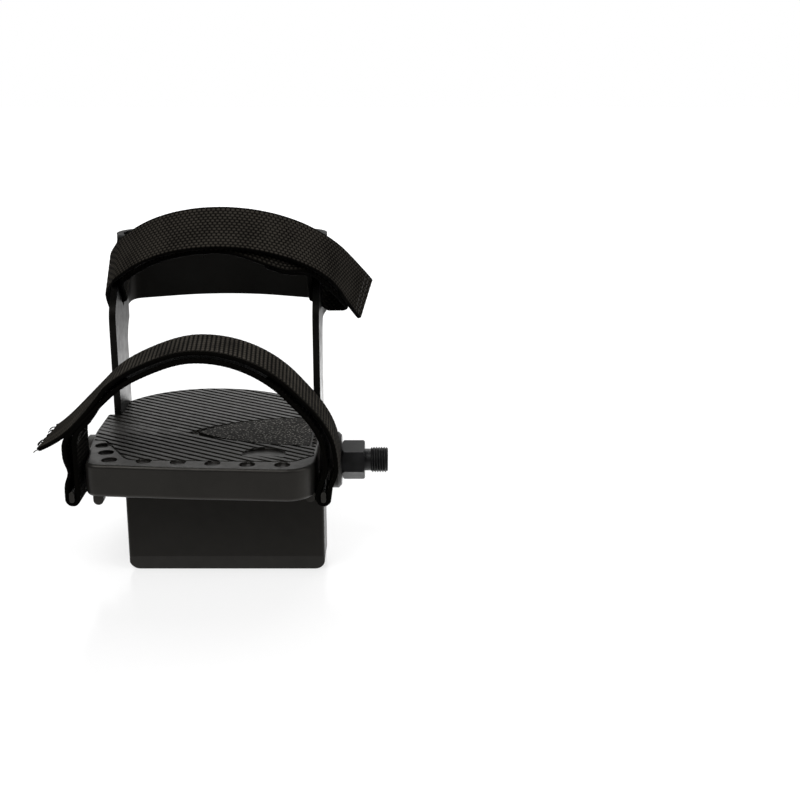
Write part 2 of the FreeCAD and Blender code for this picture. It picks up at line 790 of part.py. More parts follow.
def make_strap_bars():
    """A bar on each side of the tread for the toe strap, carried by an arm at its heel end."""
    shapes = []
    rear = size("toe_strap_middle") + size("strap_width") / 2 + size("bar_end_clearance")
    arm = size("bar_arm_thickness")
    radius = size("bar_round")
    half = size("bar_thickness") / 2
    low = size("bar_level") - size("bar_height") / 2
    high = size("bar_level") + size("bar_height") / 2
    flip = FreeCAD.Rotation(FreeCAD.Vector(1, 0, 0), 90)
    behind = FreeCAD.Placement(FreeCAD.Vector(0, rear + arm, 0), flip)
    reach = size("strap_thickness") + 2 * size("strap_gap") + size("wall_thickness")
    for side, middle in zip(("inner", "outer"), bar_places()):
        near = middle - half - reach if side == "inner" else middle - half
        far = middle + half if side == "inner" else middle + half + reach
        bar = [(middle - half, low, radius), (middle + half, low, radius),
               (middle + half, high, radius), (middle - half, high, radius)]
        shapes.append(extruded(side + "_bar", free_sketch(
            side + "_bar_section", corner_path(bar, True), behind),
            "strap_width + bar_end_clearance + bar_end_clearance + bar_arm_thickness", direction=(0, -1, 0)))
        stub = [(near, low, radius), (far, low, radius), (far, high, radius), (near, high, radius)]
        shapes.append(extruded(side + "_arm", free_sketch(
            side + "_arm_section", corner_path(stub, True), behind),
            "bar_arm_thickness", direction=(0, -1, 0)))
    # a short round-ended lug hangs below the wall at each end of the toe edge
    bottom = size("platform_top") - size("wall_height")
    width = size("lug_width")
    places = (
        (-size("inner_side") - size("lug_inset"), -size("toe_reach") + size("lug_setback")),
        (total(outer_side) + size("toe_outer_inset") + size("lug_inset") + width / 2,
         -size("toe_reach") + size("toe_outer_setback") + size("lug_inset") / 2),
    )
    for side, (middle, y) in zip(("inner", "outer"), places):
        lug = [(middle - width / 2, bottom - size("lug_drop"), width / 2 * NEARLY),
               (middle + width / 2, bottom - size("lug_drop"), width / 2 * NEARLY),
               (middle + width / 2, bottom + size("lug_depth"), 0),
               (middle - width / 2, bottom + size("lug_depth"), 0)]
        shapes.append(extruded(side + "_lug", free_sketch(
            side + "_lug_section", corner_path(lug, True),
            FreeCAD.Placement(FreeCAD.Vector(0, y + size("lug_depth"), 0), flip)),
            "lug_depth", direction=(0, -1, 0)))
    return shapes


def boss_places():
    inner = -size("housing_inner_side")
    outer = inner - size("housing_width")
    front = size("housing_front") + size("post_front_inset")
    rear = size("housing_front") + size("housing_depth") - size("post_rear_inset")
    places = []
    for x, inset_x in ((inner, -1), (outer, 1)):
        places.append((x + inset_x * size("post_side_inset"), front))
        places.append((x + inset_x * size("post_rear_side_inset"), rear))
    return places


def make_platform():
    top = size("platform_top")
    bottom = top - size("wall_height")
    outline = free_sketch("platform_line", corner_path(platform_outline(), True))
    blank = extruded("platform_blank", outline, "wall_height")
    blank.Placement = at(0, 0, bottom)
    soft_top = rounded("platform_top_round", blank, "top_edge_radius", lies_at(top))
    soft = rounded("platform_bottom_round", soft_top, "bottom_edge_radius", lies_at(bottom))
    hollow = extruded("platform_hollow", inset("platform_inner_line", outline, "wall_thickness"),
                      "wall_height - tread_thickness")
    hollow.Placement = at(0, 0, bottom)
    shell = cut_away("platform_shell", soft, hollow)
    # barrel for the spindle, bosses for the housing screws, ribs under the tread, pads for the heel cup legs
    barrel = doc.addObject("Part::Cylinder", "barrel")
    barrel.setExpression("Radius", "sizes.barrel_diameter / 2")
    barrel.setExpression("Height", formula(barrel_end + " + inner_side + platform_width + barrel_proud"))
    barrel.Placement = FreeCAD.Placement(FreeCAD.Vector(total(cap_face), 0, 0), along_x)
    shapes = [shell, barrel]
    for number, (x, y) in enumerate(boss_places()):
        boss = cylinder("boss_%d" % number, "boss_diameter", "platform_top - tread_thickness/2 - post_level",
                        at(x, y, size("post_level")))
        shapes.append(boss)
    rib_low = top - size("tread_thickness") - size("rib_depth")
    cup_middle = -size("cup_middle")
    for number, y in enumerate((size("leg_front") - size("pad_thickness"), size("leg_front") + size("leg_width"))):
        half_span = size("cup_spacing") / 2 - size("pad_thickness") / 2
        shapes.append(box("cross_rib_%d" % number,
                          ("cup_spacing - pad_thickness", "rib_thickness", "rib_depth + tread_thickness/2"),
                          (cup_middle - half_span, y, rib_low)))
    long_start = size("barrel_diameter") / 2 - size("rib_thickness")
    for number, shift in enumerate((-1, 0, 1)):
        x = cup_middle + shift * size("cup_spacing") / 4 - size("rib_thickness") / 2
        rib = box("long_rib_%d" % number,
                  ("rib_thickness", "leg_front + leg_width - barrel_diameter/2", "rib_depth + tread_thickness/2"),
                  (x, long_start, rib_low))
        shapes.append(rib)
    for side, direction in (("inner", 1), ("outer", -1)):
        face = cup_middle + direction * size("cup_spacing") / 2
        near = face - size("pad_thickness") if direction > 0 else face
        shapes.append(box(side + "_pad",
                          ("pad_thickness", "leg_width + pad_thickness", "wall_height - tread_thickness/2"),
                          (near, size("leg_front") - size("pad_thickness"), bottom)))
    # two ribs under the barrel stop the counterweight from lifting
    for number, share in enumerate((-1, 1)):
        x = -size("housing_inner_side") - size("housing_width") / 2 + share * size("housing_width") / 4
        shapes.append(box("hold_down_%d" % number,
                          ("rib_thickness", "barrel_diameter/2", "- weight_top - strap_gap"),
                          (x, -size("barrel_diameter") / 4, size("weight_top") + size("strap_gap"))))
    shapes.extend(make_strap_bars())
    solid = fused("platform_solid", shapes)
    # bores for the spindle and its bushes, seats for the legs, holes for bolts and screws
    tools = [spindle_bores()]
    for side, direction in (("inner", 1), ("outer", -1)):
        face = cup_middle + direction * size("cup_spacing") / 2
        near = face if direction > 0 else face - size("boss_diameter")
        tools.append(box(side + "_leg_seat", ("boss_diameter", "heel_reach", "wall_height + wall_height"),
                         (near, size("leg_front") - size("leg_seat_clearance"), bottom - size("wall_height") / 2)))
        depth = size("boss_diameter")
        inside = face - size("pad_thickness") - depth if direction > 0 else face + size("pad_thickness")
        tools.append(box(side + "_nut_pocket",
                         ("boss_diameter", "leg_width - rib_thickness", "wall_height - tread_thickness"),
                         (inside, size("leg_front") + size("rib_thickness") / 2, bottom)))
    for number, (x, y) in enumerate(boss_places()):
        tools.append(cylinder("pilot_%d" % number, "pilot_diameter", "screw_length",
                              at(x, y, size("post_level"))))
    tools.extend(bolt_holes("platform"))
    tool_set = doc.addObject("Part::Compound", "platform_holes")
    tool_set.Links = tools
    drilled = cut_away("platform_drilled", solid, tool_set)
    finished(cut_away("platform", drilled, make_tread_cutters(outline)), "platform")


def spindle_bores():
    """One turned cutter for the stepped bore of the barrel."""
    inner_body = "inner_journal_diameter/2 + bush_wall"
    outer_body = "outer_journal_diameter/2 + bush_wall"
    free = "inner_journal_diameter/2 + bush_wall/2"
    return turned("barrel_bore", [
        (barrel_end + " + cover_gap", nothing),
        (barrel_end + " + cover_gap", counterbore_radius),
        (flange_seat, counterbore_radius),
        (flange_seat, inner_body),
        (inner_bush_end, inner_body),
        (inner_bush_end, free),
        (outer_bush_end, free),
        (outer_bush_end, outer_body),
        (outer_flange_seat, outer_body),
        (outer_flange_seat, cap_bore_radius),
        (cap_face + " - cover_gap", cap_bore_radius),
        (cap_face + " - cover_gap", nothing),
    ])


def bolt_places():
    """Outer face of each leg, direction out of it, and the heel-ward place of each bolt."""
    rows = []
    middle = size("leg_front") + size("leg_width") / 2
    half = size("cup_spacing") / 2 + size("leg_seat_clearance") + size("cup_thickness")
    for direction in (1, -1):
        for shift in (-0.5, 0.5):
            rows.append((-size("cup_middle") + direction * half, direction, middle + shift * size("bolt_spacing")))
    return rows


def bolt_holes(owner):
    holes = []
    for number, (face, direction, y) in enumerate(bolt_places()):
        start = face - size("boss_diameter") * 2 if direction > 0 else face - size("boss_diameter")
        holes.append(cylinder("%s_bolt_hole_%d" % (owner, number),
                              "bolt_diameter + bolt_hole_clearance + bolt_hole_clearance",
                              "boss_diameter + boss_diameter + boss_diameter",
                              FreeCAD.Placement(FreeCAD.Vector(start, y, size("bolt_level")), along_x)))
    return holes


def make_bolts():
    """Button-head bolts through the legs and pads, with a washer and a nut inside the tread."""
    stack = size("cup_thickness") + size("leg_seat_clearance") + size("pad_thickness")
    bolts = []
    washers = []
    nuts = []
    for number, (face, direction, y) in enumerate(bolt_places()):
        outward = FreeCAD.Vector(direction, 0, 0)
        inward = FreeCAD.Rotation(FreeCAD.Vector(0, 1, 0), -90 * direction)
        seat = FreeCAD.Vector(face, y, size("bolt_level"))
        head_end = seat + outward * size("bolt_head_height")
        head = cylinder("bolt_head_%d" % number, "bolt_head_diameter", "bolt_head_height",
                        FreeCAD.Placement(head_end, inward))
        round_head = rounded("bolt_round_%d" % number, head, "bolt_head_height - bolt_end/2 - bolt_hole_clearance",
                             touches(head_end.x))
        shank = cylinder("bolt_shank_%d" % number, "bolt_diameter",
                         "bolt_head_height + cup_thickness + leg_seat_clearance + pad_thickness"
                         " + bolt_washer_thickness + nut_height",
                         FreeCAD.Placement(head_end - outward * size("bolt_end"), inward))
        bolts.append(fused("bolt_%d" % number, [round_head, shank]))
        washer_seat = seat - outward * stack
        ring = cylinder("bolt_washer_blank_%d" % number, "bolt_washer_diameter", "bolt_washer_thickness",
                        FreeCAD.Placement(washer_seat, inward))
        hole = cylinder("bolt_washer_hole_%d" % number,
                        "bolt_diameter + bolt_hole_clearance + bolt_hole_clearance", "bolt_washer_thickness",
                        FreeCAD.Placement(washer_seat, inward))
        washers.append(cut_away("bolt_washer_%d" % number, ring, hole))
        nut_place = washer_seat - outward * size("bolt_washer_thickness")
        blank = extruded("bolt_nut_blank_%d" % number, free_sketch(
            "bolt_nut_hexagon_%d" % number, hexagon(size("nut_across_flats"), 0),
            FreeCAD.Placement(nut_place, along_x)), "nut_height", direction=(-direction, 0, 0))
        bore = cylinder("bolt_nut_hole_%d" % number, "bolt_diameter + thread_clearance + thread_clearance",
                        "nut_height", FreeCAD.Placement(nut_place, inward))
        nuts.append(cut_away("bolt_nut_%d" % number, blank, bore))
    for label, group in (("bolts", bolts), ("washers", washers), ("nuts", nuts)):
        row = doc.addObject("Part::Compound", "heel_cup_" + label)
        row.Links = group
        finished(row, "heel_cup_" + label)


def touches(place):
    """Test for the round edges that lie in one plane across X."""
    def test(edge):
        box_of = edge.BoundBox
        return abs(box_of.XMin - place) < 1e-4 and abs(box_of.XMax - place) < 1e-4
    return test


def housing_outline():
    inner = -size("housing_inner_side")
    outer = inner - size("housing_width")
    front = size("housing_front")
    rear = front + size("housing_depth")
    return [
        (outer, front, size("housing_front_radius")),
        (inner, front, size("housing_front_radius")),
        (inner, rear, size("housing_rear_radius")),
        (outer, rear, size("housing_rear_radius")),
    ]


def housing_shape(prefix, outline, start, corner):
    """Plan outline raised to the tread, with the lower corners rounded and the lower front edge bevelled."""
    bottom = size("housing_bottom") + start
    height = size("platform_top") - size("wall_height") - size("housing_bottom")
    inner = -size("housing_inner_side") - start
    outer = -size("housing_inner_side") - size("housing_width") + start
    upright = extruded(prefix + "_upright", outline, "platform_top - wall_height - housing_bottom")
    upright.Placement = at(0, 0, bottom)
    flip = FreeCAD.Rotation(FreeCAD.Vector(1, 0, 0), 90)
    depth = size("housing_depth")
    face = corner_path([
        (outer, bottom, corner),
        (inner, bottom, corner),
        (inner, bottom + height, 0),
        (outer, bottom + height, 0),
    ], True)
    behind = size("housing_front") + 2 * depth
    front_view = extruded(prefix + "_front_view", free_sketch(
        prefix + "_front_line", face, FreeCAD.Placement(FreeCAD.Vector(0, behind, 0), flip)),
        "housing_depth + housing_depth + housing_depth", direction=(0, -1, 0))
    front = size("housing_front") + start
    bevel = size("housing_bevel_depth")
    rise = size("housing_bevel_height")
    rear = front + 2 * depth
    side = corner_path([
        (front + bevel, bottom, 0),
        (rear, bottom, 0),
        (rear, bottom + height, 0),
        (front, bottom + height, 0),
        (front, bottom + rise, 0),
    ], True)
    stand = FreeCAD.Rotation(FreeCAD.Vector(1, 1, 1), 120)
    side_view = extruded(prefix + "_side_view", free_sketch(
        prefix + "_side_line", side, FreeCAD.Placement(FreeCAD.Vector(outer - depth, 0, 0), stand)),
        "housing_width + housing_depth + housing_depth", direction=(1, 0, 0))
    shape = doc.addObject("Part::MultiCommon", prefix + "_shape")
    shape.Shapes = [upright, front_view, side_view]
    return shape


def make_housing():
    outline = free_sketch("housing_line", corner_path(housing_outline(), True))
    outside = housing_shape("housing_outside", outline, 0.0, size("housing_corner_radius"))
    wall = size("housing_wall")
    inner_line = inset("housing_inner_line", outline, "housing_wall")
    inside = housing_shape("housing_inside", inner_line, wall, size("housing_corner_radius") - wall / 2)
    shell = cut_away("housing_shell", outside, inside)
    bottom = size("housing_bottom")
    posts = [shell]
    holes = [cylinder("barrel_notch", "barrel_diameter + barrel_clearance + barrel_clearance",
                      "housing_width + housing_depth",
                      FreeCAD.Placement(FreeCAD.Vector(-size("housing_inner_side") - size("housing_width")
                                                       - size("housing_depth") / 2, 0, 0), along_x))]
    for number, (x, y) in enumerate(boss_places()):
        posts.append(cylinder("post_%d" % number, "post_diameter",
                              "post_level - housing_bottom - housing_wall/2",
                              at(x, y, bottom + wall / 2)))
        seat = size("post_level") - size("screw_head_height")
        holes.append(cylinder("post_access_%d" % number,
                              "screw_head_diameter + screw_clearance + screw_clearance",
                              "post_level - screw_head_height - housing_bottom",
                              at(x, y, bottom)))
        holes.append(cylinder("post_hole_%d" % number, "screw_diameter + screw_clearance", "screw_length",
                              at(x, y, seat - size("screw_clearance"))))
    # the wall steps back where the toe strap and its bar pass the upper front corner
    inner_bar, outer_bar = bar_places()
    room = size("strap_thickness") + 3 * size("strap_gap")
    strap_low = size("bar_level") - size("bar_height") / 2 - room
    holes.append(box("strap_step", ("boss_diameter", "strap_width + bar_arm_thickness", "wall_height"),
                     (inner_bar - size("bar_thickness") / 2 - room - size("wall_thickness"),
                      size("toe_strap_middle") - size("strap_width") / 2 + 3 * size("bar_end_clearance"),
                      strap_low)))
    solid = fused("housing_solid", posts)
    hole_set = doc.addObject("Part::Compound", "housing_holes")
    hole_set.Links = holes
    finished(cut_away("counterweight_housing", solid, hole_set), "counterweight_housing")
    make_screws()
    make_counterweight(inner_line)


def make_screws():
    """Screws up through the posts of the housing into the bosses of the tread."""
    screws = []
    seat = size("post_level") - size("screw_head_height")
    for number, (x, y) in enumerate(boss_places()):
        head = cylinder("screw_head_%d" % number, "screw_head_diameter", "screw_head_height",
                        at(x, y, seat - size("screw_head_height")))
        shank = cylinder("screw_shank_%d" % number, "pilot_diameter - thread_clearance - thread_clearance",
                         "screw_length", at(x, y, seat - size("screw_head_height") / 2))
        screws.append(fused("screw_%d" % number, [head, shank]))
    row = doc.addObject("Part::Compound", "housing_screws")
    row.Links = screws
    finished(row, "housing_screws")


def make_counterweight(inner_line):
    """Steel block on the floor of the housing, notched for the four posts."""
    wall = size("housing_wall")
    clear = size("weight_clearance")
    line = inset("weight_line", inner_line, "weight_clearance")
    block = housing_shape("weight", line, wall + clear, size("housing_corner_radius"))
    bottom = size("housing_bottom")
    cutters = []
    for number, (x, y) in enumerate(boss_places()):
        cutters.append(cylinder("weight_notch_%d" % number, "post_diameter + weight_clearance + weight_clearance",
                                "housing_depth + housing_depth", at(x, y, bottom)))
    above = box("weight_top_cut", ("housing_width", "housing_depth + housing_depth", "housing_depth"),
                (-size("housing_inner_side") - size("housing_width"), size("housing_front"), size("weight_top")))
    cutters.append(above)
    cutter_set = doc.addObject("Part::Compound", "weight_cutters")
    cutter_set.Links = cutters
    lowered = cut_away("counterweight", block, cutter_set)
    lowered.Placement = at(0, 0, -clear)
    finished(lowered, "counterweight")


def make_heel_cup():
    """Plan outline of the cup and legs, trimmed by its side view, then cut for the strap and the bolts."""
    middle = -size("cup_middle")
    half = size("cup_spacing") / 2 + size("leg_seat_clearance")
    wide = half + size("flare_width")
    front = size("leg_front")
    start = front - size("leg_width")
    corner = size("cup_corner_radius")
    centre = size("cup_rear") - size("cup_rear_radius")
    plan = corner_path([
        (middle - half, start, 0),
        (middle + half, start, 0),
        (middle + half, size("flare_start"), corner),
        (middle + wide, size("flare_end"), corner),
        (middle, centre + size("cup_rear_radius"), size("cup_rear_radius")),
        (middle - wide, size("flare_end"), corner),
        (middle - half, size("flare_start"), corner),
    ], True)
    plan_sketch = free_sketch("cup_inner_line", plan)
    low = size("leg_bottom")
    inside = extruded("cup_inside", plan_sketch, "cup_top - leg_bottom")
    inside.Placement = at(0, 0, low)
    outside = extruded("cup_outside", inset("cup_outer_line", plan_sketch, "cup_thickness", False),
                       "cup_top - leg_bottom")
    outside.Placement = at(0, 0, low)
    band = cut_away("cup_band", outside, inside)
    rear = size("cup_rear") + size("leg_width")
    back = front + size("leg_width")
    slope = math.tan(math.radians(size("strap_tilt")))
    top = size("cup_top")
    shoulder = front + (top - size("leg_break")) * slope
    side = corner_path([
        (front, low, size("leg_round")),
        (back, low, size("leg_round")),
        (back, size("cup_bottom") - size("cup_leg_radius") / 2, size("cup_leg_radius")),
        (size("flare_end"), size("cup_bottom"), size("cup_leg_radius")),
        (rear, size("cup_bottom"), 0),
        (rear, top, 0),
        (shoulder, top, size("cup_top_radius")),
        (front, size("leg_break"), size("cup_leg_radius")),
    ], True)
    stand = FreeCAD.Rotation(FreeCAD.Vector(1, 1, 1), 120)
    reach = wide + size("leg_width")
    side_view = extruded("cup_side_view", free_sketch(
        "cup_side_line", side, FreeCAD.Placement(FreeCAD.Vector(middle - reach, 0, 0), stand)),
        "cup_spacing + flare_width + flare_width + leg_width + leg_width + leg_width", direction=(1, 0, 0))
    blank = shared("cup_blank", band, side_view)
    # the strap slot runs behind the slanted bar, square to the strap
    lean = FreeCAD.Rotation(FreeCAD.Vector(1, 0, 0), size("strap_tilt"))
    depth = size("ankle_bar_width") / 2 + size("ankle_slot_width")
    length = size("strap_width") + size("ankle_slot_extra")
    corner_place = lean.multVec(FreeCAD.Vector(0, -length / 2, -depth))
    slot = box("ankle_slot", ("cup_spacing + leg_width + leg_width", "strap_width + ankle_slot_extra",
                              "ankle_slot_width"),
               (middle - size("cup_spacing") / 2 - size("leg_width"),
                size("ankle_middle") + corner_place.y, size("ankle_level") + corner_place.z), lean)
    tools = doc.addObject("Part::Compound", "cup_holes")
    tools.Links = [slot] + bolt_holes("cup")
    finished(cut_away("heel_cup", blank, tools), "heel_cup")


def shifted(points, distance):
    """The same path moved to its left, with the bend radii changed to suit."""
    places = [FreeCAD.Vector(x, y, 0) for x, y, radius in points]
    ways = []
    for number in range(len(places) - 1):
        ways.append((places[number + 1] - places[number]).normalize())
    row = []
    for number, (x, y, radius) in enumerate(points):
        before = ways[max(number - 1, 0)]
        after = ways[min(number, len(ways) - 1)]
        left = FreeCAD.Vector(-before.y, before.x, 0)
        next_left = FreeCAD.Vector(-after.y, after.x, 0)
        shift = (left + next_left) * (distance / (1 + left.dot(next_left)))
        turn = 1 if before.cross(after).z > 0 else -1
        bend = radius - turn * distance if radius > 0 else 0
        row.append((x + shift.x, y + shift.y, bend))
    return row


def ribbon_outline(points, thickness):
    """Closed outline of a band of even thickness along a path of (x, y, radius) corners."""
    return shifted(points, thickness / 2) + shifted(points, -thickness / 2)[::-1]


def height_on(start, finish, x):
    """Height at which the line through two corners passes a place in X."""
    return start[1] + (finish[1] - start[1]) * (x - start[0]) / (finish[0] - start[0])


def webbing(name, path, length_terms, placement, runs=()):
    """Flat webbing of one thickness along a path in the XZ plane, with its sewn end fused to it."""
    ribbons = []
    for number, points in enumerate((path,) + tuple(runs)):
        outline = corner_path(ribbon_outline(points, size("strap_thickness")), True)
        line = free_sketch("%s_line_%d" % (name, number), outline)
        ribbons.append(extruded("%s_ribbon_%d" % (name, number), line, length_terms))
    solid = fused(name + "_sewn", ribbons)
    solid.Placement = placement
    return finished(solid, name)


def upright(y, z, tilt=0.0):
    """Stands a drawing's Y axis up along Z, leaning back by a tilt, with its depth running to the heel."""
    stand = FreeCAD.Placement(FreeCAD.Vector(0, 0, 0), FreeCAD.Rotation(FreeCAD.Vector(1, 0, 0), 90))
    shift = at(0, size("strap_width") / 2, 0)
    lean = at(0, y, z, (1, 0, 0), tilt)
    return lean.multiply(shift).multiply(stand)


def layer_step():
    return size("strap_thickness") + 2 * size("tape_thickness") + 3 * size("tape_clearance")


def make_toe_strap():
    """Up from the inner bar in two layers, the lower one down to the outer bar, the upper one to a free tail."""
    inner_bar, outer_bar = bar_places()
    turn = size("bar_thickness") / 2 + size("strap_gap") + size("strap_thickness") / 2
    low = size("bar_level") - size("bar_height") / 2 - size("strap_gap") - size("strap_thickness") / 2
    top = size("toe_arch_top")
    radius = size("toe_arch_radius")
    step = layer_step()
    right = inner_bar + turn
    middle = right - radius
    lean = math.radians(size("toe_tail_angle"))
    bend = math.tan(lean / 2)
    tail = radius * bend + size("toe_tail_length")
    small = turn * NEARLY
    upper = [
        (middle - radius * bend - tail * math.cos(lean), top - tail * math.sin(lean), 0),
        (middle - radius * bend, top, radius * NEARLY),
        (right, top, radius * NEARLY),
    ]
    lower = shifted(upper, -step)
    loop = outer_bar - turn
    path = upper + [
        (right, low, small),
        (inner_bar - turn, low, small),
        (inner_bar - turn, lower[2][1], (inner_bar - turn - middle) * NEARLY),
        lower[1],
        (loop, height_on(lower[0], lower[1], loop), size("loop_bend")),
        (loop, low, small),
        (outer_bar + turn, low, small),
        (outer_bar + turn, 0, 0),
    ]
    # the sewn end comes up inside the bar and lies flat against the lower layer
    under = shifted(upper, -step - size("strap_thickness") * SEAM)
    rise = outer_bar + turn
    end = (rise + middle - radius * math.sin(lean)) / 2
    seam = [
        (rise, 0, 0),
        (rise, height_on(under[0], under[1], rise), size("loop_bend")),
        (end, height_on(under[0], under[1], end), 0),
    ]
    place = upright(size("toe_strap_middle"), 0)
    webbing("toe_strap", path, "strap_width", place, [seam])
    half = math.radians(size("toe_tape_angle"))
    clear = size("tape_clearance")
    thick = size("tape_thickness")
    first = radius - size("strap_thickness") / 2 - clear
    for number, label in enumerate(("toe_strap_hook_tape", "toe_strap_loop_tape")):
        outside = first - number * (thick + clear)
        curved_tape(label, middle, top - radius, outside, half, place)


def curved_tape(label, x, z, outside, half, place):
    """Strip of tape bent to the arch, narrower than the webbing."""
    corners = []
    for reach in (outside, outside - size("tape_thickness")):
        for angle in (math.pi / 2 - half, math.pi / 2, math.pi / 2 + half):
            corners.append(FreeCAD.Vector(x + reach * math.cos(angle), z + reach * math.sin(angle), 0))
    edges = [
        Part.Arc(corners[0], corners[1], corners[2]).toShape(),
        Part.LineSegment(corners[2], corners[5]).toShape(),
        Part.Arc(corners[5], corners[4], corners[3]).toShape(),
        Part.LineSegment(corners[3], corners[0]).toShape(),
    ]
    tape = extruded(label, free_sketch(label + "_line", edges), "strap_width - tape_inset - tape_inset")
    tape.Placement = place.multiply(at(0, 0, size("tape_inset")))
    finished(tape, label)


def on_arc(centre, radius, turn):
    """Point of an arch at an angle from its top, positive towards the crank."""
    return centre[0] + radius * math.sin(turn), centre[1] + radius * math.cos(turn)


def bend_corner(centre, radius, first, last):
    """Corner where the lines that touch an arch at two of its angles meet, with the arch as its bend."""
    reach = radius / math.cos((first - last) / 2)
    return on_arc(centre, reach, (first + last) / 2) + (radius,)


def make_ankle_strap():
    """From a free tail over the ankle, round both slanted bars of the heel cup and back under itself."""
    middle = -size("cup_middle")
    half = size("cup_spacing") / 2 + size("leg_seat_clearance")
    reach = size("ankle_bar_clearance") + size("strap_thickness") / 2
    outside = half + size("cup_thickness") + reach
    within = half - reach
    low = -size("ankle_bar_width") / 2 - size("ankle_slot_width") / 2
    small = size("ankle_turn_radius")
    soft = size("ankle_shoulder_radius")
    step = layer_step()
    radius = size("ankle_arch_radius")
    centre = (middle + size("ankle_arch_shift"), size("ankle_arch_top") - radius)
    tail_turn = math.radians(size("ankle_tail_angle"))
    side_turn = math.radians(size("ankle_shoulder_angle"))
    tail = on_arc(centre, radius, tail_turn)
    side = on_arc(centre, radius, -side_turn)
    length = size("ankle_tail_length")
    upper = [
        (tail[0] + length * math.cos(tail_turn), tail[1] - length * math.sin(tail_turn), 0),
        bend_corner(centre, radius, tail_turn, -side_turn),
        (middle - outside, side[1] - (side[0] - middle + outside) * math.tan(side_turn), soft),
    ]
    # the lower layer keeps to the arch, and hangs loose outside the bar on the spindle side
    lower = shifted(upper, step)
    loose = lower[0][0] + (low - lower[0][1]) / math.tan(-tail_turn)
    path = upper + [
        (middle - outside, low, small),
        (middle - within, low, small),
        (middle - within, height_on(lower[1], lower[2], middle - within), soft),
        lower[1],
        (loose, low, small),
        (middle + within, low, small),
        (middle + within, 0, 0),
    ]
    # the sewn end comes up inside the cup and lies flat against the lower layer
    inner = radius - step - size("strap_thickness") * SEAM
    start = math.radians(size("ankle_seam_angle"))
    end = start - math.radians(size("ankle_seam_sweep"))
    rise = middle + within
    first = on_arc(centre, inner, start)
    last = on_arc(centre, inner, end)
    seam = [
        (rise, 0, 0),
        (rise, first[1] - (rise - first[0]) * math.tan(start), soft / 2),
        bend_corner(centre, inner, start, end),
        (last[0] - small * math.cos(end), last[1] + small * math.sin(end), 0),
    ]
    place = upright(size("ankle_middle"), size("ankle_level"), size("strap_tilt"))
    webbing("ankle_strap", path, "strap_width", place, [seam])
    # both tapes follow the arch between the two layers
    spread = math.radians(size("ankle_tape_angle"))
    clear = size("tape_clearance")
    thick = size("tape_thickness")
    for number, label in enumerate(("ankle_strap_hook_tape", "ankle_strap_loop_tape")):
        face = radius - size("strap_thickness") / 2 - clear - number * (thick + clear)
        curved_tape(label, centre[0], centre[1], face, spread, place)


def write_pieces():
    doc.recompute()
    for item in doc.Objects:
        for word in ("Invalid", "Error"):
            if word in item.State:
                raise RuntimeError("%s is %s" % (item.Name, word))
    os.makedirs("parts", exist_ok=True)
    for piece in pieces:
        shape = piece.Shape
        if shape.isNull() or not shape.isValid():
            raise RuntimeError("%s has no valid shape" % piece.Label)
        print("%-24s solids %d  volume %9.1f mm3" % (piece.Label, len(shape.Solids), shape.Volume))
        shape.exportStep("parts/%s.step" % piece.Label)


make_spindle()
make_bearings()
make_covers()
make_platform()
make_heel_cup()
make_bolts()
make_housing()
make_toe_strap()
make_ankle_strap()
write_pieces()
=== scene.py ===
import bpy
import bmesh
import math
from mathutils import Matrix, Vector


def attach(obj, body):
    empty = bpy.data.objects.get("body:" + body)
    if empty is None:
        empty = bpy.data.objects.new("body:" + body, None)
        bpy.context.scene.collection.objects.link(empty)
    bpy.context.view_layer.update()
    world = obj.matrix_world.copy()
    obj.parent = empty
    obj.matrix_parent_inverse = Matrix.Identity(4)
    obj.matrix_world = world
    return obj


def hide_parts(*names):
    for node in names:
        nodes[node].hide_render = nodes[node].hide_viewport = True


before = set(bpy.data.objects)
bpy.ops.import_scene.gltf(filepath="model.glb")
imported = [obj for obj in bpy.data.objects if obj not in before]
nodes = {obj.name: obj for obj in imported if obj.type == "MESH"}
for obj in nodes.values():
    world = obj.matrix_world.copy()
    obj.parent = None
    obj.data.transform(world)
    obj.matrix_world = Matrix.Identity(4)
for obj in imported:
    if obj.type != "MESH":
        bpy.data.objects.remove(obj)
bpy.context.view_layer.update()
scene = bpy.context.scene
mm = 0.001
print("frame loaded")


# node helpers

def newMaterial(name):
    mat = bpy.data.materials.new(name)
    mat.use_nodes = True
    tree = mat.node_tree
    shader = tree.nodes["Principled BSDF"]
    return mat, tree, shader


def addNode(tree, kind, **settings):
    node = tree.nodes.new(kind)
    for key, value in settings.items():
        if key.startswith("in_"):
            node.inputs[key[3:].replace("_", " ")].default_value = value
        else:
            setattr(node, key, value)
    return node


# give a node's inputs their values, or link them to other nodes
def feed(tree, node, values):
    for name, value in values.items():
        if isinstance(value, bpy.types.NodeSocket):
            tree.links.new(value, node.inputs[name])
        else:
            node.inputs[name].default_value = value


def mathNode(tree, operation, first, second=None):
    node = tree.nodes.new("ShaderNodeMath")
    node.operation = operation
    for socket, value in zip(node.inputs, (first, second)):
        if value is None:
            continue
        if isinstance(value, (int, float)):
            socket.default_value = value
        else:
            tree.links.new(value, socket)
    return node.outputs[0]


def colourRamp(tree, factor, span, first, second):
    ramp = tree.nodes.new("ShaderNodeValToRGB")
    for element, place, colour in zip(ramp.color_ramp.elements, span, (first, second)):
        element.position = place
        element.color = (*colour, 1.0)
    tree.links.new(factor, ramp.inputs["Fac"])
    return ramp.outputs["Color"]


def mapRange(tree, value, fromLow, fromHigh, toLow, toHigh):
    node = tree.nodes.new("ShaderNodeMapRange")
    feed(tree, node, {"Value": value, "From Min": fromLow, "From Max": fromHigh, "To Min": toLow,
                      "To Max": toHigh})
    return node.outputs["Result"]


